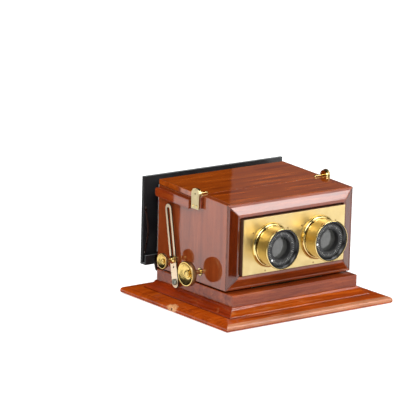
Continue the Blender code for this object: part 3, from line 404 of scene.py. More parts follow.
# Painted shade: the hinge leaves are made near black so they read as the shade in the gap under the body.
HINGE_PAINTED_SHADE = metal("hinge_painted_shade", (0.07, 0.045, 0.022), (0.03, 0.02, 0.01), 0.5)
STEEL = metal("steel_dull", (0.36, 0.37, 0.32), (0.2, 0.2, 0.17), 0.45, brush_strength=0.1, spots=0.3)
SPRING_STEEL = metal("spring_steel", (0.16, 0.15, 0.14), (0.06, 0.055, 0.05), 0.3,
                     brush_strength=0.1, spots=0.2)
BLACK = painted("japanned_black", (0.004, 0.004, 0.005), (0.2, 0.215, 0.215), 0.4,
                worn=1.0, coat=0.1, dust=0.02, settled=0.9)
BLACK_BEZEL = painted("black_lacquer", (0.003, 0.003, 0.003), (0.08, 0.08, 0.08), 0.14,
                      worn=0.3, coat=0.0, dust=0.04)
BLACK_SATIN = painted("black_satin", (0.008, 0.008, 0.009), (0.05, 0.05, 0.05), 0.42,
                      worn=0.3, coat=0.0, dust=0.15)
BLACK_CARD = painted("black_card", (0.005, 0.005, 0.005), (0.03, 0.03, 0.028), 0.75,
                     worn=0.4, coat=0.0, dust=0.15)
EBONISED = painted("ebonised_wood", (0.08, 0.028, 0.012), (0.14, 0.06, 0.03), 0.5, worn=0.6, coat=0.1)
# Painted glint: the index pins are painted white for the glint of a polished pin head.
PIN_PAINTED_GLINT = painted("pin_painted_glint", (0.92, 0.92, 0.9), (0.7, 0.7, 0.68), 0.3, worn=0.1, coat=0.4, dust=0.1)
MARKS = painted("scale_marks", (0.42, 0.42, 0.4), (0.2, 0.2, 0.19), 0.5, worn=0.3, coat=0.2)
FELT = felt("green_felt")
LENS = lens_glass("lens_glass")
GROUND_GLASS = frosted_glass("ground_glass")
MIRROR = mirror_glass("mirror_glass")

FINISHES = (
    # material, nodes that are shown as packed
    (MAHOGANY_TOP, ("top_board", "lid")),
    (MAHOGANY_SIDE, ("side_panel_left", "side_panel_right")),
    (MAHOGANY_FRAME_X, ("front_rail_top", "front_rail_bottom")),
    (MAHOGANY_FRAME_Z, ("front_rail_left", "front_rail_right")),
    (MAHOGANY_RAIL, ("side_rail_left", "side_rail_right", "pivot_block_left", "pivot_block_right")),
    (MAHOGANY_PLINTH, ("plinth_block",)),
    (MAHOGANY_INSIDE, ("bottom_board",)),
    (EBONISED, ("lens_board",)),
    (BLACK_CARD, ("septum",)),
    (BRASS, ("clamp_bush", "spindle_bush_left", "spindle_bush_right", "focus_spindle", "rack_guide",
             "tilt_arm_washer", "focus_rack_left", "focus_rack_right")),
    (HINGE_PAINTED_SHADE, ("tilt_hinge_lower_leaf", "tilt_hinge_upper_leaf")),
    (BRASS_PLATE, ("lens_plate",)),
    (BRASS_PALE, ("tilt_arm",)),
    (STEEL, ("clamp_stud", "tilt_hinge_pin")),
    (SPRING_STEEL, ("card_spring_left", "card_spring_right", "stage_foot_left", "stage_foot_right")),
    (BLACK, ("stage_frame", "card_ledge")),
    (FELT, ("rest_pad",)),
    (GROUND_GLASS, ("ground_glass",)),
    (MIRROR, ("lid_mirror",)),
)


def finish_nodes():
    """Gives the nodes that are shown as packed their finishes."""
    for material, nodes in FINISHES:
        for node in nodes:
            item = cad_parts[node]
            item.data.materials.clear()
            item.data.materials.append(material)


# Meshes


def make_piece(name, bm, material, body, stands_for=(), second=None):
    """A named piece from a bmesh in world coordinates. Second is (material, test of a face's centre)."""
    bmesh.ops.recalc_face_normals(bm, faces=bm.faces[:])
    mesh = bpy.data.meshes.new(name)
    bm.to_mesh(mesh)
    bm.free()
    mesh.shade_smooth()
    mesh.set_sharp_from_angle(angle=SHARP_ANGLE)
    mesh.materials.append(material)
    if second:
        other, belongs = second
        mesh.materials.append(other)
        for face in mesh.polygons:
            face.material_index = int(belongs(face.center))
    piece = bpy.data.objects.new(name, mesh)
    bpy.context.scene.collection.objects.link(piece)
    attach(piece, body)
    if stands_for:
        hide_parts(*stands_for)
    return piece


def arc(centre, radius, start, end, steps):
    """Points on an arc, angles in degrees."""
    points = []
    for i in range(steps + 1):
        angle = math.radians(start + (end - start) * i / steps)
        points.append((centre[0] + radius * math.cos(angle), centre[1] + radius * math.sin(angle)))
    return points


def add_turned(bm, profile, centre, axis, sides, knurl=NO_KNURL):
    """Turns a profile of (radius, distance along axis) about the axis."""
    teeth, depth, knurl_low, knurl_high = knurl
    axis = Vector(axis)
    across = Vector((1, 0, 0)) if abs(axis.z) > 0.5 else Vector((0, 0, 1))
    aside = axis.cross(across)
    closed = profile[0][0] > 0
    rings = []
    for radius, along in profile:
        core = Vector(centre) + axis * along
        if radius == 0:
            rings.append([bm.verts.new(core)])
            continue
        ring = []
        for i in range(sides):
            angle = 2 * math.pi * i / sides
            reach = radius
            if knurl_low <= along <= knurl_high:
                reach -= depth * (0.5 + 0.5 * math.cos(teeth * angle))
            ray = across * math.cos(angle) + aside * math.sin(angle)
            ring.append(bm.verts.new(core + ray * reach))
        rings.append(ring)
    pairs = list(zip(rings, rings[1:]))
    if closed:
        pairs.append((rings[-1], rings[0]))
    for one, two in pairs:
        for i in range(sides):
            after = (i + 1) % sides
            if len(one) == 1:
                bm.faces.new((one[0], two[i], two[after]))
            elif len(two) == 1:
                bm.faces.new((one[i], one[after], two[0]))
            else:
                bm.faces.new((one[i], one[after], two[after], two[i]))


def turned(name, profile, centre, axis, material, body, stands_for=(), sides=ROUND):
    """A piece turned from a profile."""
    bm = bmesh.new()
    add_turned(bm, profile, centre, axis, sides)
    make_piece(name, bm, material, body, stands_for)


def add_block(bm, low, high, turn=None, edge=0.0):
    """Adds a box from corner to corner, its edges rounded by a radius, turned by a matrix."""
    grown = bmesh.ops.create_cube(bm, size=1)["verts"]
    bmesh.ops.scale(bm, verts=grown, vec=[high[i] - low[i] for i in range(3)])
    bmesh.ops.translate(bm, verts=grown, vec=[(high[i] + low[i]) / 2 for i in range(3)])
    if edge:
        edges = list({e for v in grown for e in v.link_edges})
        made = bmesh.ops.bevel(bm, geom=edges, offset=edge, segments=2, profile=0.5, affect="EDGES")
        grown = list({v for f in made["faces"] for v in f.verts})
    if turn is not None:
        bmesh.ops.transform(bm, matrix=turn, verts=grown)


def slotted_screw(name, centre, axis, radius, height, turn, material, body,
                  stands_for=(), shank=0.0):
    """A round-headed screw; its slot is a real groove between two half heads on a common disc."""
    axis = Vector(axis)
    spin = Vector((0, 0, 1)).rotation_difference(axis).to_matrix().to_4x4()
    matrix = Matrix.Translation(Vector(centre)) @ spin @ Matrix.Rotation(turn, 4, "Z")
    groove = 0.16 * radius
    steps = 14
    rise = 4
    shank_radius = 0.4 * radius
    bm = bmesh.new()
    floor = 0.45 * height
    profile = [(0, -shank)]
    if shank:
        profile += [(shank_radius, -shank), (shank_radius, 0)]
    profile += [(0.98 * radius, 0), (radius, 0.1 * height), (radius, floor), (0, floor)]
    add_turned(bm, profile, (0, 0, 0), (0, 0, 1), 2 * steps)
    for side in (-1, 1):
        layers = []
        for level in range(rise + 1):
            lift = level / rise
            reach = radius * (0.995 - 0.22 * lift * lift)
            z = floor + (height - floor) * math.sin(lift * math.pi / 2) + 0.01 * height
            start = math.asin(groove / reach)
            ring = []
            for i in range(steps + 1):
                angle = start + (math.pi - 2 * start) * i / steps
                ring.append(bm.verts.new((reach * math.cos(angle), side * reach * math.sin(angle), z)))
            layers.append(ring)
        for low, high in zip(layers, layers[1:]):
            for i in range(steps + 1):
                after = (i + 1) % (steps + 1)
                bm.faces.new((low[i], low[after], high[after], high[i]))
        bm.faces.new(layers[0])
        bm.faces.new(layers[-1])
    bmesh.ops.transform(bm, matrix=matrix, verts=bm.verts[:])
    make_piece(name, bm, material, body, stands_for)


# Base


def nosed_board():
    """The base board with a full, blunt nosing, eased corners and the catch's mortise."""
    high = BASE_HIGH
    foot, nose_deep, quirk = 2.8 * MM, 6.6 * MM, 0.8 * MM
    fullness = 0.74
    # Below this the nosing keeps the darker plain tone: a painted shade along its lower edge.
    nose_foot = foot * 0.8
    rise = high.z - quirk - foot
    levels = [(-foot * (1 - c), foot * (1 + s)) for c, s in arc((0, 0), 1, -90, 0, 10)]
    levels += [(-nose_deep * (1 - c ** fullness), foot + rise * s ** fullness)
               for c, s in arc((0, 0), 1, 0, 88, 18)[1:]]
    levels += [(-nose_deep - 0.1 * MM, high.z - 0.2 * MM), (-nose_deep - 0.3 * MM, high.z)]
    bm = bmesh.new()
    corner = 0.7 * MM
    rings = []
    for inset, z in levels:
        ring = []
        for (sx, sy), start in zip(CORNERS, (180, 270, 0, 90)):
            centre = (sx * (high.x + inset - corner), sy * (high.y + inset - corner))
            ring += [bm.verts.new((x, y, z)) for x, y in arc(centre, corner, start, start + 90, 4)]
        rings.append(ring)
    bm.faces.new(rings[0])
    bm.faces.new(rings[-1])
    for one, two in zip(rings, rings[1:]):
        for i in range(len(one)):
            after = (i + 1) % len(one)
            bm.faces.new((one[i], one[after], two[after], two[i]))

    def rubbed(spot):
        """Partly worn polish, partly a painted highlight: only the front and rear nosings, where the light
        falls, are paler, and their lowest part keeps the darker tone as painted shade.
        """
        on_nose = nose_foot < spot.z < high.z - quirk
        return on_nose and abs(spot.y) - high.y > abs(spot.x) - high.x

    board = make_piece("nosed_base_board", bm, MAHOGANY_BASE_X, "base", ["base_board"],
                       (MAHOGANY_NOSE_HIGHLIT, rubbed))
    cut_mortise(board)


def cut_mortise(board):
    """Cuts the catch's mortise into the board's left edge, with black walls."""
    half_width, depth = 0.9 * MM, 5 * MM
    bottom, top = 2.2 * MM, 5.4 * MM
    bm = bmesh.new()
    add_block(bm, (BASE_LOW.x - MM, MORTISE.y - half_width, bottom),
              (BASE_LOW.x + depth, MORTISE.y + half_width, top))
    cutter_mesh = bpy.data.meshes.new("mortise_cutter")
    bm.to_mesh(cutter_mesh)
    bm.free()
    cutter_mesh.materials.append(BLACK_CARD)
    cutter = bpy.data.objects.new("mortise_cutter", cutter_mesh)
    bpy.context.scene.collection.objects.link(cutter)
    cutter.hide_render = True
    cutter.hide_viewport = True
    cutter.display_type = "WIRE"
    cutting = board.modifiers.new("mortise", "BOOLEAN")
    cutting.operation = "DIFFERENCE"
    cutting.object = cutter
    cutting.material_mode = "TRANSFER"


def mouldings():
    """The four mitred strips: a fillet with an eased edge, a hollow slope and a quarter bead."""
    plinth_low, plinth_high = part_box("plinth_block")
    strip_low, strip_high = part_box("base_moulding_front")
    out = plinth_low.y - strip_low.y
    foot, top = strip_low.z, strip_high.z
    bead = 1.8 * MM
    fillet = 2 * MM
    gap = 0.3 * MM
    cove_low, cove_high = foot + fillet, top - bead
    edge = 1.4 * MM
    hollow = 0.5 * MM
    slope_steps = 14
    mitre_gap = 0.03 * MM
    profile = [(gap, foot), (out, foot)] + arc((out - edge, cove_low - edge), edge, 0, 75, 8)
    start_out, start_up = profile[-1]
    for i in range(1, slope_steps):
        share = i / slope_steps
        sag = hollow * math.sin(math.pi * share)
        profile.append((start_out + (bead - start_out) * share - sag,
                        start_up + (cove_high - start_up) * share - sag))
    profile += [(gap + (bead - gap) * c, cove_high + bead * s) for c, s in arc((0, 0), 1, 0, 90, 8)]
    names = ("front", "right", "rear", "left")
    for name, *ends_at in zip(names, CORNERS, CORNERS[1:] + CORNERS[:1]):
        ends = []
        for sx, sy in ends_at:
            ends.append([Vector((sx * (plinth_high.x + o), sy * (plinth_high.y + o), z)) for o, z in profile])
        bm = bmesh.new()
        rows = []
        for start, end in zip(*ends):
            along = (end - start).normalized() * mitre_gap
            rows.append((bm.verts.new(start + along), bm.verts.new(end - along)))
        for one, two in zip(rows, rows[1:] + rows[:1]):
            bm.faces.new((one[0], one[1], two[1], two[0]))
        bm.faces.new([row[0] for row in rows])
        bm.faces.new([row[1] for row in rows])
        material = MAHOGANY_BASE_X if name in ("front", "rear") else MAHOGANY_BASE_Y
        make_piece("moulding_" + name, bm, material, "base", ["base_moulding_" + name])


# Eyepieces


def eyepiece(name):
    """Flange, tube, bezel with its ring of ticks, and lens of one eyepiece."""
    tube_low, tube_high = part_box("lens_tube_" + name)
    x, z = middle("lens_tube_" + name).x, middle("lens_tube_" + name).z
    centre = (x, 0, z)
    rim_out, rim_r = -tube_low.y, (tube_high.x - tube_low.x) / 2
    tube_r = rim_r - 1 * MM
    flange_out = flange(name, centre, tube_r + 0.3 * MM)
    tube(name, centre, tube_r, rim_r, -tube_high.y, flange_out + 1.2 * MM, rim_out)
    bezel(name, centre, rim_out)
    lens(name, centre)
    plate_screws(name, x, z)


def flange(name, centre, bore):
    """The ring on the plate, rolled over at its outer edge. Returns how far out it comes."""
    low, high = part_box("lens_flange_" + name)
    radius, back, front = (high.x - low.x) / 2, -high.y, -low.y
    roll, shoulder = 2.6 * MM, 5 * MM
    ease = 0.2 * MM
    profile = [(bore, back), (radius - ease, back), (radius, back + ease)]
    profile += [(radius - roll * (1 - c), front - shoulder * (1 - s)) for c, s in arc((0, 0), 1, 0, 86, 16)]
    profile.append((bore, front - ease))
    turned("eyepiece_flange_" + name, profile, centre, FORWARD, BRASS, "body",
           ["lens_flange_" + name])
    return front


def tube(name, centre, radius, rim_r, back, neck, rim_out):
    """The flared tube with a groove at its neck, a round rim and a cup for the bezel."""
    inner = radius - 1.2 * MM
    cup, shelf = rim_r - 0.95 * MM, rim_out - 7.4 * MM
    groove = radius - 0.25 * MM
    flare_start = neck + 0.7 * MM
    flare_length = rim_out - neck - 2.6 * MM
    flare_steps = 10
    rim_round = 0.9 * MM
    profile = [(inner, back), (radius, back), (radius, neck)]
    profile += [(groove, neck + 0.2 * MM), (groove, neck + 0.5 * MM), (radius, flare_start)]
    for i in range(1, flare_steps + 1):
        share = i / flare_steps
        profile.append((radius + 0.75 * MM * share ** 2.2, flare_start + flare_length * share))
    profile += arc((rim_r - rim_round, rim_out - rim_round), rim_round, 0, 90, 6)
    profile += [(cup + 0.05 * MM, rim_out - 0.1 * MM), (cup, rim_out - 0.3 * MM)]
    profile += [(cup, shelf), (inner, shelf)]
    turned("eyepiece_tube_" + name, profile, centre, FORWARD, BRASS, "body",
           ["lens_tube_" + name])


def bezel(name, centre, rim_out):
    """The black bezel: a dished cone round a flat face with ticks, and a ridged throat."""
    low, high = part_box("lens_bezel_" + name)
    outer, throat, lip = (high.x - low.x) / 2, -high.y, -low.y
    annulus_r, annulus = 19.4 * MM, rim_out - 4 * MM
    aperture = 12.9 * MM
    wall = aperture + 1.6 * MM
    shelf = annulus - 2.9 * MM
    ease = 0.15 * MM
    cone_r = outer - 0.6 * MM
    cone_steps = 8
    throat_start = annulus - 0.3 * MM
    throat_length = annulus - throat - 0.6 * MM
    ridge_height = 0.12 * MM
    ridge_steps = 12
    profile = [(aperture, throat), (wall, throat), (wall, shelf), (outer, shelf)]
    profile += [(outer, lip - ease), (outer - ease, lip), (outer - 0.5 * MM, lip)]
    for i in range(cone_steps + 1):
        share = i / cone_steps
        profile.append((cone_r + (annulus_r - cone_r) * share ** 0.8, lip + (annulus - lip) * share ** 1.3))
    profile += [(aperture + 0.9 * MM, annulus), (aperture + 0.5 * MM, annulus + 0.25 * MM)]
    profile += [(aperture + 0.2 * MM, annulus + 0.1 * MM), (aperture, throat_start)]
    for i in range(1, ridge_steps):
        ridge = ridge_height if i % 2 else 0.0
        profile.append((aperture + ridge, throat_start - throat_length * i / ridge_steps))

    def in_throat(spot):
        return math.hypot(spot.x - centre[0], spot.z - centre[2]) < aperture + 0.15 * MM

    bm = bmesh.new()
    add_turned(bm, profile, centre, FORWARD, ROUND)
    make_piece("eyepiece_bezel_" + name, bm, BLACK_BEZEL, "body", ["lens_bezel_" + name],
               (BLACK_CARD, in_throat))
    face_low, face_high = annulus - 0.5 * MM, annulus + 0.05 * MM
    face_inner, face_outer = aperture + 1.1 * MM, annulus_r + 0.1 * MM
    face = [(face_inner, face_low), (face_outer, face_low), (face_outer, face_high), (face_inner, face_high)]
    turned("bezel_face_" + name, face, centre, FORWARD, BLACK_SATIN, "body")
    index_pin(name, centre, annulus)
    scale_ticks(name, centre, annulus)


def scale_ticks(name, centre, annulus):
    """The ring of ticks on a bezel's flat face, every fifth one longer and thicker."""
    ticks = 50
    outer_end = 18.2 * MM
    half_height = 0.1 * MM
    bm = bmesh.new()
    for i in range(ticks):
        angle = 2 * math.pi * i / ticks
        inner_end, half = (15.1 * MM, 0.28 * MM) if i % 5 == 0 else (16.2 * MM, 0.16 * MM)
        turn = Matrix.Translation((centre[0], 0, centre[2])) @ Matrix.Rotation(angle, 4, "Y")
        add_block(bm, (-half, -annulus - half_height, inner_end), (half, -annulus + half_height, outer_end),
                  turn)
    make_piece("bezel_scale_" + name, bm, MARKS, "body")


def index_pin(name, centre, annulus):
    """The small pin that marks how far the bezel is turned; its white is a painted glint of a polished head.
    """
    angle = math.radians({"left": -136, "right": -172}[name])
    reach = 17.7 * MM
    radius, sunk, side, dome = 1.35 * MM, 0.3 * MM, 0.25 * MM, 0.45 * MM
    spot = (centre[0] + reach * math.cos(angle), -annulus, centre[2] + reach * math.sin(angle))
    profile = [(0, -sunk), (radius, -sunk), (radius, side)]
    profile += [(radius * c, side + dome * s) for c, s in arc((0, 0), 1, 15, 80, 6)]
    profile.append((0, side + dome))
    turned("index_pin_" + name, profile, spot, FORWARD, PIN_PAINTED_GLINT, "body", sides=ROUND_TINY)


def lens(name, centre):
    """A biconvex lens with smooth crowns."""
    low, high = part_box("lens_glass_" + name)
    radius, back, front = (high.x - low.x) / 2, -high.y, -low.y
    crown = 1 * MM
    steps = 12
    shape = [(radius * i / steps, crown * (1 - (i / steps) ** 2)) for i in range(steps + 1)]
    profile = [(r, back + crown - rise) for r, rise in shape]
    profile += [(r, front - crown + rise) for r, rise in reversed(shape)]
    turned("eyepiece_lens_" + name, profile, centre, FORWARD, LENS, "body",
           ["lens_glass_" + name])


def plate_screws(name, x, z):
    """Three small screws round each flange."""
    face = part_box("lens_plate")[0].y
    circle, sunk = 29.5 * MM, 0.02 * MM
    for number, degrees in enumerate((34, 146, -102)):
        angle = math.radians(degrees)
        spot = (x + circle * math.cos(angle), face - sunk, z + circle * math.sin(angle))
        slotted_screw(f"plate_screw_{name}_{number + 1}", spot, FORWARD, 1.1 * MM, 0.45 * MM,
                      0.7 + number, BRASS_DARK, "body")


# Knobs


def dish(radius, back, thickness):
    """Profile of a dished knob's face from its rim inwards to its domed hub."""
    front = back + thickness
    dish_outer, dish_inner = 0.87 * radius, 0.36 * radius
    hub, hub_front = 0.29 * radius, front - 0.3 * thickness
    steps = 14
    points = [(0.985 * radius, front - 0.1 * thickness), (0.95 * radius, front), (0.885 * radius, front)]
    for i in range(1, steps + 1):
        share = i / steps
        depth = 0.06 + 0.5 * math.sin(share * math.pi / 2)
        points.append((dish_outer + (dish_inner - dish_outer) * share, front - depth * thickness))
    points += [(0.33 * radius, front - 0.55 * thickness), (0.31 * radius, hub_front)]
    dome = [(hub * c, hub_front + 0.12 * thickness * s) for c, s in arc((0, 0), 1, 0, 90, 6)]
    return points + dome[:-1] + [(0, dome[-1][1])]


def dished_wheel(name, node, body, centre, axis, stem, radius, back, front, sides, teeth, depth):
    """A knob with a milled rim and a dished face, turned in one with the profile of its stem."""
    thickness = front - back
    rim_low, rim_high = back + 0.2 * thickness, front - 0.14 * thickness
    rim = [(radius, rim_low + (rim_high - rim_low) * i / 3) for i in range(4)]

    def milled(spot):
        return math.hypot(spot.y - centre[1], spot.z - centre[2]) > 0.965 * radius

    bm = bmesh.new()
    add_turned(bm, stem + rim + dish(radius, back, thickness), centre, axis, sides,
               (teeth, depth, rim_low, rim_high))
    make_piece(name, bm, BRASS_KNOB, body, [node], (BRASS_DARK, milled))


def focus_wheel(name):
    """Focusing knob: milled rim, dished face and a domed nut on the spindle's end."""
    side = SIDES[name]
    node = "focus_knob_" + name
    low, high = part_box(node)
    centre = (0, middle(node).y, middle(node).z)
    radius = (high.z - low.z) / 2
    back, front = sorted((side * low.x, side * high.x))
    thickness = front - back
    bore, bore_end = 2.95 * MM, back + 2.3 * MM
    stem = [(0, bore_end), (bore, bore_end), (bore, back), (0.5 * radius, back)]
    stem += [(0.9 * radius, back + 0.03 * thickness), (0.975 * radius, back + 0.12 * thickness)]
    dished_wheel("focus_wheel_" + name, node, "focus_drive", centre, (side, 0, 0), stem, radius, back, front,
                 sides=288, teeth=96, depth=0.22 * MM)


def clamp_wheel():
    """The smaller dished knob of the tilt clamp, its neck and its collar against the arm."""
    low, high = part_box("clamp_knob")
    centre = (0, middle("clamp_knob").y, middle("clamp_knob").z)
    radius = (high.z - low.z) / 2
    collar, front = -high.x, -low.x
    thickness = 4.5 * MM
    back = front - thickness
    bore, bore_end = 1.4 * MM, collar + 7.3 * MM
    neck, collar_r = 2.6 * MM, 4.6 * MM
    ease = 0.4 * MM
    stem = [(0, bore_end), (bore, bore_end), (bore, collar), (collar_r - ease, collar)]
    stem += [(collar_r, collar + ease), (collar_r, collar + 1.6 * MM), (collar_r - ease, collar + 2.1 * MM)]
    stem += [(neck + 0.6 * MM, collar + 2.9 * MM), (neck, collar + 3.8 * MM), (neck, back - 2 * MM)]
    stem += [(neck + 0.5 * MM, back - 0.8 * MM), (0.5 * radius, back)]
    stem.append((0.9 * radius, back + 0.05 * thickness))
    dished_wheel("clamp_wheel", "clamp_knob", "clamp_knob", centre, (-1, 0, 0), stem, radius, back, front,
                 sides=240, teeth=72, depth=0.2 * MM)


# Lid pins, pivot screws, clips and rivets


def lid_wire(name):
    """A cranked brass wire: out through the pivot plate, in over the lid and down into it."""
    side = SIDES[name]
    low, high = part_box("lid_pin_" + name)
    radius = 1 * MM
    axis_z, y = high.z - radius, middle("lid_pin_" + name).y
    outer = max(abs(low.x), abs(high.x))
    leg = min(abs(low.x), abs(high.x)) + radius
    bend = 1.6 * MM
    route = [(outer, axis_z)]
    route += [(leg + x, axis_z + z) for x, z in arc((bend, -bend), bend, 90, 180, 10)]
    route.append((leg, low.z))
    wire = bpy.data.curves.new("lid_wire_" + name, "CURVE")
    wire.dimensions = "3D"
    wire.bevel_depth = radius
    wire.bevel_resolution = 6
    wire.use_fill_caps = True
    line = wire.splines.new("POLY")
    line.points.add(len(route) - 1)
    for point, (x, z) in zip(line.points, route):
        point.co = (side * x, y, z, 1)
    line.use_smooth = True
    wire.materials.append(BRASS)
    piece = bpy.data.objects.new("lid_wire_" + name, wire)
    bpy.context.scene.collection.objects.link(piece)
    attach(piece, "lid")
    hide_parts("lid_pin_" + name)


def add_plate(bm, outline, x_low, x_high, edge):
    """Adds a plate from an outline of (y, z) between two x, its rims rounded."""
    walls = []
    for x in (x_low, x_high):
        walls.append([bm.verts.new((x, y, z)) for y, z in outline])
    faces = [bm.faces.new(walls[0]), bm.faces.new(walls[1])]
    for i in range(len(outline)):
        after = (i + 1) % len(outline)
        bm.faces.new((walls[0][i], walls[0][after], walls[1][after], walls[1][i]))
    rims = [e for f in faces for e in f.edges]
    bmesh.ops.bevel(bm, geom=rims, offset=edge, segments=2, profile=0.5, affect="EDGES")


def round_top(y, half, foot, axis_z):
    """Outline of (y, z) with a flat foot and a round top about the axis."""
    return [(y - half, foot), (y + half, foot)] + arc((y, axis_z), half, 0, 180, 28)


def pivot_plate(name):
    """The satin pivot plate with its round top, the polished boss behind it and its two screws."""
    side = SIDES[name]
    node = "pivot_plate_" + name
    low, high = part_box(node)
    face = max(abs(low.x), abs(high.x))
    inner = min(abs(low.x), abs(high.x))
    thick = 1.5 * MM
    y, half = (low.y + high.y) / 2, (high.y - low.y) / 2
    axis_z = high.z - half
    plate = round_top(y, half, low.z, axis_z)
    bm = bmesh.new()
    add_plate(bm, plate, *sorted((side * (face - thick), side * face)), 0.2 * MM)
    make_piece("pivot_brass_plate_" + name, bm, BRASS_KHAKI, "body", [node])
    boss = round_top(y, 6 * MM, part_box("pivot_block_" + name)[1].z + 0.3 * MM, axis_z)
    bm = bmesh.new()
    add_plate(bm, boss, *sorted((side * inner, side * (face - thick + 0.05 * MM))), 0.25 * MM)
    make_piece("pivot_boss_" + name, bm, BRASS, "body", [node])
    screw_aside, screw_up = 3.2 * MM, 3.6 * MM
    for number, offset in enumerate((-screw_aside, screw_aside)):
        spot = (side * face, y + offset, low.z + screw_up)
        slotted_screw(f"pivot_screw_{name}_{number + 1}", spot, (side, 0, 0), 1.25 * MM, 0.55 * MM,
                      0.4 + 1.3 * number, BRASS, "body")


def arm_screw():
    """The screw that the tilt arm swings on, with a washer face and a slotted head."""
    low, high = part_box("tilt_arm_screw")
    centre = middle("tilt_arm_screw")
    radius = (high.z - low.z) / 2
    head = 1.7 * MM
    spot = (low.x + head, centre.y, centre.z)
    slotted_screw("arm_pivot_screw", spot, (-1, 0, 0), radius, head, 0.5, STEEL, "base",
                  ["tilt_arm_screw"], shank=high.x - spot[0])


def glass_clips():
    """Four turned clips behind the frame that hold the ground glass."""
    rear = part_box("stage_frame")[1].y
    pane_low, pane_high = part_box("ground_glass")
    reach = (pane_high.x - pane_low.x) * 0.72
    half_width = 2 * MM
    inner, outer = rear - 0.35 * MM, rear - 0.02 * MM
    over_frame, over_glass = 2.2 * MM, 4.5 * MM
    number = 0
    for x in (-0.5 * reach, 0.5 * reach):
        for z, below, above in ((pane_low.z, over_frame, over_glass), (pane_high.z, over_glass, over_frame)):
            number += 1
            bm = bmesh.new()
            low, high = (x - half_width, inner, z - below), (x + half_width, outer, z + above)
            add_block(bm, low, high, edge=0.1 * MM)
            make_piece(f"glass_clip_{number}", bm, BRASS_DARK, "stage")


def spring_rivets(name):
    """Two rivets at the flat ends of each card spring."""
    low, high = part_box("card_spring_" + name)
    x = (low.x + high.x) / 2
    face = high.y - 0.5 * MM
    inset = 2 * MM
    radius, sunk, dome = 1.1 * MM, 0.1 * MM, 0.5 * MM
    profile = [(0, -sunk), (radius, -sunk)]
    profile += [(radius * c, dome * s) for c, s in arc((0, 0), 1, 0, 80, 5)] + [(0, dome)]
    for number, z in enumerate((low.z + inset, high.z - inset)):
        turned(f"spring_rivet_{name}_{number + 1}", profile, (x, face, z), FORWARD, SPRING_STEEL,
               "stage", sides=ROUND_TINY)


# Stage, light and camera


def mesh_object(name, bm, material):
    mesh = bpy.data.meshes.new(name)
    bm.to_mesh(mesh)
    bm.free()
    mesh.materials.append(material)
    made = bpy.data.objects.new(name, mesh)
    bpy.context.scene.collection.objects.link(made)
    return made


def studio():
    """A pale floor, a dim surround and soft boxes."""
    floor_material, tree, shader = new_material("floor", Roughness=0.9, Base_Color=FLOOR_COLOUR,
                                                Emission_Color=WHITE)
    glow = map_range(tree, length(tree, place(tree)), FLOOR_GLOW_REACH, FLOOR_GLOW)
    connect(tree, shader, Emission_Strength=glow)
    bm = bmesh.new()
    bmesh.ops.create_grid(bm, x_segments=1, y_segments=1, size=FLOOR_SIZE)
    bmesh.ops.translate(bm, verts=bm.verts[:], vec=(0, 0, -FLOOR_DROP))
    mesh_object("floor", bm, floor_material)
    world = bpy.data.worlds.new("surround")
    bpy.context.scene.world = world
    world.use_nodes = True
    tree = world.node_tree
    background = tree.nodes["Background"]
    toward = add(tree, "TexCoord").outputs["Generated"]
    height = add(tree, "SeparateXYZ", {0: toward}).outputs["Z"]
    tree.links.new(map_range(tree, height, SURROUND_REACH, SURROUND), background.inputs["Strength"])
    background.inputs["Color"].default_value = WHITE
    for name, direction, distance, width, height, power, reflected in SOFT_BOXES:
        light = bpy.data.lights.new(name, "AREA")
        light.shape = "RECTANGLE"
        light.size, light.size_y = width, height
        light.energy = power
        lamp = bpy.data.objects.new(name, light)
        bpy.context.scene.collection.objects.link(lamp)
        aim = Vector(direction).normalized()
        lamp.location = LAMPS_AIM_AT + aim * distance
        lamp.rotation_mode = "QUATERNION"
        lamp.rotation_quaternion = aim.to_track_quat("Z", "Y")
        lamp.visible_camera = False
        lamp.visible_glossy = reflected


def hide_card(card):
    """Leaves a card visible to reflections only."""
    card.visible_camera = False
    card.visible_diffuse = False
    card.visible_shadow = False


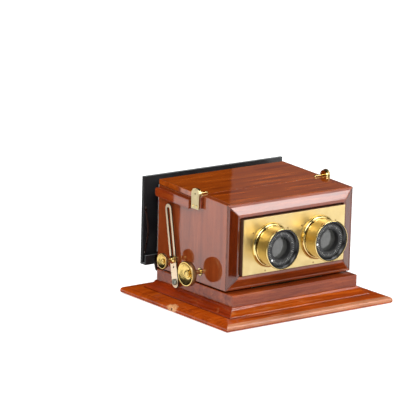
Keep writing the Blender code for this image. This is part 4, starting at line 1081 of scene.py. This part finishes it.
def dark_card(name, start, end, low, high):
    """A black card out of view that the polished wood reflects, from one (x, y) to another."""
    material = new_material(name, Roughness=1.0, Base_Color=CARD_COLOUR, Specular_IOR_Level=0.0)[0]
    bm = bmesh.new()
    corners = ((*start, low), (*end, low), (*end, high), (*start, high))
    bm.faces.new([bm.verts.new(corner) for corner in corners])
    hide_card(mesh_object(name, bm, material))


def dark_skirt():
    """A narrow dark strip round the base, seen only in reflections: the shade under the nosing."""
    material = new_material("skirt", Roughness=1.0, Base_Color=CARD_COLOUR)[0]
    bm = bmesh.new()
    inner, outer = (
        [bm.verts.new((sx * (BASE_HIGH.x + reach), sy * (BASE_HIGH.y + reach), 0)) for sx, sy in CORNERS]
        for reach in (0, SKIRT_WIDTH)
    )
    for i in range(len(CORNERS)):
        after = (i + 1) % len(CORNERS)
        bm.faces.new((inner[i], outer[i], outer[after], inner[after]))
    hide_card(mesh_object("skirt", bm, material))


def camera():
    """A long lens from the front left, slightly rolled."""
    turn, lift = CAMERA_AZIMUTH, CAMERA_ELEVATION
    back = Vector((math.sin(turn) * math.cos(lift), -math.cos(turn) * math.cos(lift), math.sin(lift)))
    right = Vector((math.cos(turn), math.sin(turn), 0))
    up = back.cross(right)
    turned_right = right * math.cos(CAMERA_ROLL) + up * math.sin(CAMERA_ROLL)
    turned_up = up * math.cos(CAMERA_ROLL) - right * math.sin(CAMERA_ROLL)
    lens_data = bpy.data.cameras.new("camera")
    lens_data.lens = CAMERA_LENS
    lens_data.sensor_width = CAMERA_SENSOR
    lens_data.clip_end = CAMERA_REACH
    made = bpy.data.objects.new("camera", lens_data)
    bpy.context.scene.collection.objects.link(made)
    made.matrix_world = Matrix.Translation(LOOK_AT + back * CAMERA_DISTANCE) @ Matrix(
        (turned_right, turned_up, back)).transposed().to_4x4()
    bpy.context.scene.camera = made


camera()
studio()
for card in DARK_CARDS:
    dark_card(*card)
dark_skirt()
bpy.context.scene.view_settings.view_transform = "Standard"
finish_nodes()
nosed_board()
mouldings()
for eye in SIDES:
    eyepiece(eye)
    focus_wheel(eye)
    lid_wire(eye)
    pivot_plate(eye)
    spring_rivets(eye)
clamp_wheel()
arm_screw()
glass_clips()
